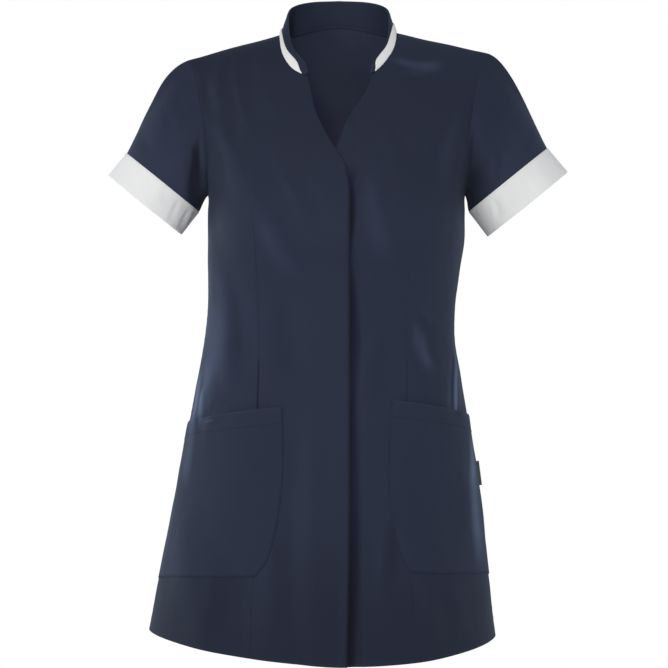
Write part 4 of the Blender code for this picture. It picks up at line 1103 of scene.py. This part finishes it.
collar = {
    "wall": 0.0016, "rows": 28, "columns": 190, "swell": 0.0010, "tuck": 0.07, "under": 0.0008,
    "flat": (0.432, 0.038), "area": 0.0106, "on": ["backCentre", "rightFrontCentre", "leftFrontCentre"],
    # painted shadow inside the stand: side, share from the tip, width, depth
    "shades": [(-1, 0.655, 0.055, 0.9), (1, 0.66, 0.09, 0.25)],
    # share from the front tip to the middle of the back, x, y, height of the top edge
    "rim": np.array([
        (0.0, 0.0382, -0.0735, -0.0548), (0.09, 0.0412, -0.066, -0.0435), (0.18, 0.049, -0.0565, -0.0325),
        (0.28, 0.0572, -0.043, -0.02), (0.38, 0.0612, -0.024, -0.0035), (0.48, 0.0632, -0.006, 0.0145),
        (0.58, 0.0636, 0.014, 0.0305), (0.7, 0.0555, 0.0335, 0.041), (0.84, 0.034, 0.052, 0.0483),
        (1.0, 0.0, 0.06, 0.051)]),
}
along = np.linspace(-1.0, 1.0, collar["columns"])
fromTip = 1.0 - np.abs(along)


def necklineLoop(count):
    # the neckline from the right tip round the nape to the left tip, at even lengths
    rows = np.linspace(tipRow, topRow, 60)
    angle, level = backCentreField(np.linspace(3.0, 11.0, 90)[1:-1] / 14.0, np.array([topRow]))
    right = figure(*openingEdge(-1, "front", rows), "front", True)
    left = figure(*openingEdge(1, "front", rows), "front")[::-1]
    points = np.concatenate([right, figure(angle, level, "back")[0], left])
    lengths = arcLengths(points, 0)
    return readLine(points, lengths, np.linspace(0.0, lengths[-1], count))


def collarShape(climbs):
    # foot + climb (rim - foot) with a slight swell in the middle of its height
    foot = necklineLoop(collar["columns"])
    x, y, height = (through(collar["rim"], fromTip, column) for column in (1, 2, 3))
    rim = np.stack([np.where(along < 0, -1.0, 1.0) * x + 0.001, y, height], -1)
    points = foot[None] + climbs[..., None] * (rim - foot)[None]
    outside = points - np.array([0.0, -0.01, 0.0])
    outside[..., 2] = 0.0
    normals = gridNormals(points, outside)
    swell = collar["swell"] * np.sin(math.pi * np.clip(climbs, 0.0, 1.0))
    points = points + normals * swell[..., None]
    return points, gridNormals(points, normals)


tuck = collar["tuck"] * (1.0 + 5.0 * bell(fromTip, 0.02))
rise = np.linspace(0.0, 1.0, collar["rows"])[:, None]
climbs = rise - tuck * (1.0 - rise)
points, normals = collarShape(climbs)
points = points - normals * (collar["under"] * smooth(-climbs / tuck + 0.3))[..., None]
wall = collar["wall"] * (0.35 + 0.65 * smooth((climbs + tuck) / 0.20))[..., None]
height = arcLengths(points, 0)
# painted shadow on the stand's inner face; the outer face gets only a dark line at its foot
behind = np.zeros_like(height)
for side, middle, width, depth in collar["shades"]:
    behind = behind + depth * bell(fromTip - middle, width) * (along * side > 0.0)
item = shellMesh("collarStand", points, points - normals * wall, normals, tags={
    "seam": (0.15 * bell(height, 0.0030), behind), "edge": 0.11 * bell(height[-1:] - height, 0.0016)})
dress(item, navyCloth, ["collar_stand"])
threads = threadMesh("collarStitches", [(points[-3] + normals[-3] * stitch["proud"], normals[-3])])
dress(threads, navyThread)

trim = {
    "start": 0.07, "thick": 0.0013, "proud": 0.00015, "flat": (0.423, 0.0147), "area": 0.0042,
    # rows read off the stand; where the band ends; from where, over what share and how it narrows
    "readRows": 40, "end": 0.020, "narrow": (0.018, 0.150, 0.72),
    # share from the tip, then how high it reaches on the right and on the left
    "heights": np.array([(0.0, 0.66, 0.95), (0.07, 0.67, 0.96), (0.14, 0.64, 0.97), (0.24, 0.52, 0.95),
                         (0.34, 0.42, 0.84), (0.45, 0.36, 0.7), (0.7, 0.36, 0.46), (1.0, 0.34, 0.34)]),
}


def trimShape():
    # a flat band with rounded long edges, narrowing to both tips, laid on rows read off the stand
    turn = np.linspace(0.0, 2 * math.pi, 24, endpoint=False)[:, None]
    top = readBySide(trim["heights"], fromTip, along)
    first, length, power = trim["narrow"]
    taper = np.sin(0.5 * math.pi * np.clip((fromTip - first) / length, 0.0, 1.0)) ** power
    low, high = trim["start"], trim["start"] + (top - trim["start"]) * (0.06 + 0.94 * taper)
    spread = np.sign(np.cos(turn)) * np.abs(np.cos(turn)) ** 0.5
    last = trim["readRows"] - 1
    stand = collarShape(np.repeat(np.linspace(0.0, 1.0, last + 1)[:, None], collar["columns"], 1))
    rowAt = (0.5 * (low + high)[None] + 0.5 * (high - low)[None] * spread) * last
    row = np.clip(np.floor(rowAt).astype(int), 0, last - 1)
    part = (rowAt - row)[..., None]
    column = np.broadcast_to(np.arange(collar["columns"]), row.shape)
    points, way = (grid[row, column] * (1 - part) + grid[row + 1, column] * part for grid in stand)
    lift = trim["proud"] + trim["thick"] * np.maximum(0.0, np.sin(turn)) ** 0.5
    points = points + unit(way) * (lift * (0.35 + 0.65 * taper))[..., None]
    kept = fromTip > trim["end"]
    return points[:, kept], unit(way)[:, kept]


item = tubeMesh("collarTrim", *trimShape(), ends=True)
dress(item, whiteCloth, ["collar_trim"])
print("collar made")


pocket = {
    "rows": 96, "columns": 84, "wall": 0.0010, "clear": 0.0004, "gape": 0.0042, "hem": 0.021,
    "slack": 0.0008, "lie": 0.0009, "sag": 0.0010, "stitchDip": 0.00018, "turn": 89.6,
    "bottomLine": 0.14,
    # how far the stitches run from the edges, read at one column
    "fromEdge": 0.0024, "fromBottom": 0.0028, "fromHem": 0.0012, "proud": 0.0001, "readAt": 20,
    # heights at the side seam, how dark the inner edge's seam line with painted shade is, then that edge's
    # x and height
    -1: {"sides": (-0.679, -0.489), "line": 0.45, "flat": (0.206, 0.21), "area": 0.0394,
         "inner": np.array([(-0.0987, -0.664), (-0.0837, -0.6408), (-0.0706, -0.585), (-0.0661, -0.5398),
                            (-0.0661, -0.4613)])},
    1: {"sides": (-0.674, -0.48), "line": 0.22, "flat": (0.188, 0.211), "area": 0.0367,
        "inner": np.array([(0.0857, -0.659), (0.0749, -0.6374), (0.063, -0.585), (0.06, -0.5398),
                           (0.064, -0.453)])},
}


def pocketShape(side):
    # a patch from its inner edge to the side seam, over the creased front it is sewn to
    size = pocket[side]
    rise = np.linspace(0.0, 1.0, pocket["rows"])
    height = size["inner"][0, 1] + rise * (size["inner"][-1, 1] - size["inner"][0, 1])
    x = through(size["inner"], height, 0, 1)
    atSide = size["sides"][0] + rise * (size["sides"][1] - size["sides"][0])
    start = (angleAt(x, height), levelAt(x, height, "front"))
    end = (np.full(len(rise), side * math.radians(pocket["turn"])),
           levelAt(side * halfWidth(side, atSide), atSide, "front"))
    close = np.array([0.0, 0.004, 0.009, 0.016, 0.026])
    shares = np.concatenate([close, np.linspace(0.04, 0.97, pocket["columns"]), [0.985, 1.0]])
    angle, level = between(start, end, shares)
    points, normals = figure(angle, level, "front"), outward(angle, level, "front")
    relief = creaseRelief(points[..., 0], points[..., 2], creases["front"]) * smooth(np.cos(angle) / 0.16)
    relief = relief + ripple(points) * smooth(np.cos(angle) / 0.10)
    fromInner, fromBottom = arcLengths(points, 1), arcLengths(points, 0)
    fromMouth, fromSide = fromBottom[-1:] - fromBottom, fromInner[:, -1:] - fromInner
    sewn = np.minimum(fromInner, fromBottom)
    lie = (1.0 - bell(sewn, 0.0013)) * smooth(fromSide / 0.012)
    slack = smooth(sewn / 0.030) * smooth((1.0 - shares) / 0.25)
    gape = pocket["gape"] * smooth((rise - 0.60) / 0.40)[:, None]
    gape = gape * np.sin(math.pi * np.clip(shares * 1.04, 0.0, 1.0)) ** 0.8 * smooth((1.0 - shares) / 0.35)
    sag = pocket["sag"] * np.sin(3 * math.pi * shares) * smooth((rise - 0.7) / 0.3)[:, None]
    off = pocket["clear"] + pocket["lie"] * lie + pocket["slack"] * slack + gape + sag * smooth(sewn / 0.02)
    hemLine = bell(fromMouth - pocket["hem"], 0.0010)
    points = points + normals * (relief + off - pocket["stitchDip"] * hemLine)[..., None]
    onPocket = paintedSheens[(paintedSheens[:, 0] < 0.0) | (paintedSheens[:, 1] < -0.47)]
    # dark seam lines with painted shade along the sewn edges
    dark = size["line"] * (0.45 + 0.55 * smooth((rise - 0.20) / 0.70))[:, None]
    line = bell(sewn, 0.0008) * np.where(fromInner < fromBottom, dark, pocket["bottomLine"])
    # the front's painted highlights where they cross the pocket
    paintedLight = np.maximum(0.0, creaseRelief(points[..., 0], points[..., 2], onPocket))
    tags = {"seam": np.maximum(line, hemLine * 0.02),
            "edge": np.clip(0.07 * bell(fromMouth, 0.0018) + paintedLight, 0.0, 1.2)}
    return points, gridNormals(points, normals), tags, (fromInner, fromBottom, fromMouth, fromSide)


for side, sideName in sides.items():
    name, size = sideName + "Pocket", pocket[side]
    points, normals, tags, (fromInner, fromBottom, fromMouth, fromSide) = pocketShape(side)
    sewn = np.minimum(fromInner, fromBottom)
    wall = pocket["wall"] * (0.35 + 0.65 * smooth(sewn / 0.003) * smooth(fromSide / 0.010))
    item = shellMesh(name, points, points - normals * wall[..., None], normals, tags=tags)
    dress(item, navyCloth, [sideName + "_pocket"])
    column = int(np.argmin(np.abs(fromInner[len(points) // 2] - pocket["fromEdge"])))
    row = int(np.argmin(np.abs(fromBottom[:, pocket["readAt"]] - pocket["fromBottom"])))
    down = int(np.argmin(np.abs(fromMouth[:, pocket["readAt"]] - pocket["hem"] + pocket["fromHem"])))
    above = points + normals * pocket["proud"]
    threads = threadMesh(name + "Stitches", [(above[cells], normals[cells]) for cells in (
        np.s_[row:, column], np.s_[row, column:], np.s_[down, column:])])
    dress(threads, navyThread)
print("pockets made")


tab = {"width": 0.006, "height": 0.030, "thick": 0.0012, "wall": 0.00035, "clear": 0.0001, "sway": 0.0007,
       "top": -0.533, "rows": 20,
       "flat": (0.013, 0.03), "on": ["leftFrontSide", "leftBackSide"],
       "look": {"deep": (0.05, 0.055, 0.07, 1.0), "light": (0.12, 0.128, 0.15, 1.0),
                "seam": (0.03, 0.03, 0.04, 1.0), "worn": (0.16, 0.17, 0.19, 1.0),
                "inside": (0.1, 0.1, 0.1, 1.0), "thread": 0.0007, "raise": 0.00002, "creasing": 0.0004}}


def tabShape():
    # a folded strip: its section leaves the seam, turns at the fold and comes back
    rows = np.linspace(0.0, 1.0, tab["rows"])
    height = tab["top"] - tab["height"] * (1.0 - rows)
    seam = (np.full(len(rows), math.pi / 2), levelAt(halfWidth(1, height), height, "front"))
    r = tab["thick"] / 2
    bend = np.linspace(-math.pi / 2, math.pi / 2, 9)[1:-1]
    run = np.linspace(0.0, tab["width"] - r, 12)
    out = np.concatenate([run, tab["width"] - r + r * np.cos(bend), run[::-1]])
    over = np.concatenate([np.full_like(run, -r), r * np.sin(bend), np.full_like(run, r)])
    sway = tab["sway"] * np.sin(math.pi * rows * 1.3)[:, None] * (out / tab["width"])[None]
    away = outward(*seam, "front")[:, None] * (out[None, :, None] + tab["clear"])
    back = np.array([0.0, 1.0, 0.0]) * (over[None] + sway)[..., None]
    return figure(*seam, "front")[:, None] + away + back


points = tabShape()
like = points - points.mean(1, keepdims=True)
like[..., 2] = 0.0
normals = gridNormals(points, like)
item = shellMesh("sideTab", points, points - normals * tab["wall"], normals)
tabCloth = wovenFinish("tab tape", tab["look"], {"Sheen Weight": 0.1, "Specular IOR Level": 0.4})
dress(item, tabCloth, ["side_tab"])
print("tab made")


studio = {
    "floor": (-1.25, 2.9), "ambient": (0.33, (0.96, 0.98, 1.0, 1.0)),
    # place, aimed at, size, power, colour
    "lights": {
        "frontSoftbox": ((-0.1, -1.6, 0.3), (0.0, 0.0, -0.15), 0.6, 10.5, (1.0, 0.995, 0.98)),
        "keySoftbox": ((-1.6, -1.9, -0.12), (0.0, 0.0, -0.25), 1.1, 12.5, (1.0, 0.99, 0.97)),
        "fillSoftbox": ((1.7, -1.9, -0.15), (0.0, 0.0, -0.28), 1.4, 6.0, (0.95, 0.97, 1.0)),
        "rimRight": ((1.8, 0.5, -0.3), (0.1, 0.0, -0.45), 0.8, 8.0, (0.9, 0.96, 1.0)),
        "rimLeft": ((-1.8, 0.5, -0.3), (-0.1, 0.0, -0.4), 0.8, 14.0, (0.9, 0.96, 1.0)),
    },
    "camera": ((-0.005, -2.8, -0.37375), 120.72),
}


def floorDisc():
    # rings of points round a small middle face
    level, reach = studio["floor"]
    turn = np.linspace(0.0, 2 * math.pi, 96, endpoint=False)
    radius = np.linspace(0.02, 1.0, 12)[:, None] * reach
    x, y = radius * np.cos(turn), radius * np.sin(turn)
    index = np.arange(x.size).reshape(x.shape)
    faces = quads(closeUp(index, 1))[:, ::-1].tolist() + [index[0].tolist()]
    item = makeMesh("studioFloor", np.stack([x, y, np.full_like(x, level)], -1), faces, rounded=False)
    finish = Finish("studio floor", {"Specular IOR Level": 0.2})
    grain = finish.noise(finish.objectPlace(), 40.0, 3.0)
    finish.show({"Base Color": finish.blendColours(grain, (0.86, 0.86, 0.86, 1.0), (0.9, 0.9, 0.9, 1.0)),
                 "Roughness": 0.75 + grain * 0.1})
    item.data.materials.append(finish.material)


def place(name, data, at):
    # a light or a camera at a point
    item = bpy.data.objects.new(name, data)
    bpy.context.scene.collection.objects.link(item)
    item.location = at
    return item


def makeStudio():
    # the camera sees plain white behind the part, and everything else a softer ambient
    floorDisc()
    scene = bpy.context.scene
    scene.world = bpy.data.worlds.new("studio air")
    scene.world.use_nodes = True
    nodes, links = scene.world.node_tree.nodes, scene.world.node_tree.links
    nodes.clear()
    out, mix = nodes.new("ShaderNodeOutputWorld"), nodes.new("ShaderNodeMixShader")
    links.new(nodes.new("ShaderNodeLightPath").outputs["Is Camera Ray"], mix.inputs[0])
    for slot, (strength, colour) in ((1, studio["ambient"]), (2, (1.0, (1.0, 1.0, 1.0, 1.0)))):
        air = nodes.new("ShaderNodeBackground")
        air.inputs[0].default_value, air.inputs[1].default_value = colour, strength
        links.new(air.outputs[0], mix.inputs[slot])
    links.new(mix.outputs[0], out.inputs[0])
    for name, (at, target, size, power, colour) in studio["lights"].items():
        light = bpy.data.lights.new(name, "AREA")
        light.shape, light.size, light.energy, light.color = "DISK", size, power, colour
        item = place(name, light, at)
        item.rotation_euler = (Vector(target) - Vector(at)).to_track_quat("-Z", "Y").to_euler()
    scene.view_settings.view_transform = "Standard"
    at, lens = studio["camera"]
    camera = bpy.data.cameras.new("viewCamera")
    camera.sensor_width, camera.lens = 36.0, lens
    scene.camera = place("viewCamera", camera, at)
    scene.camera.rotation_euler = (math.pi / 2, 0.0, 0.0)


makeStudio()
print("studio made")
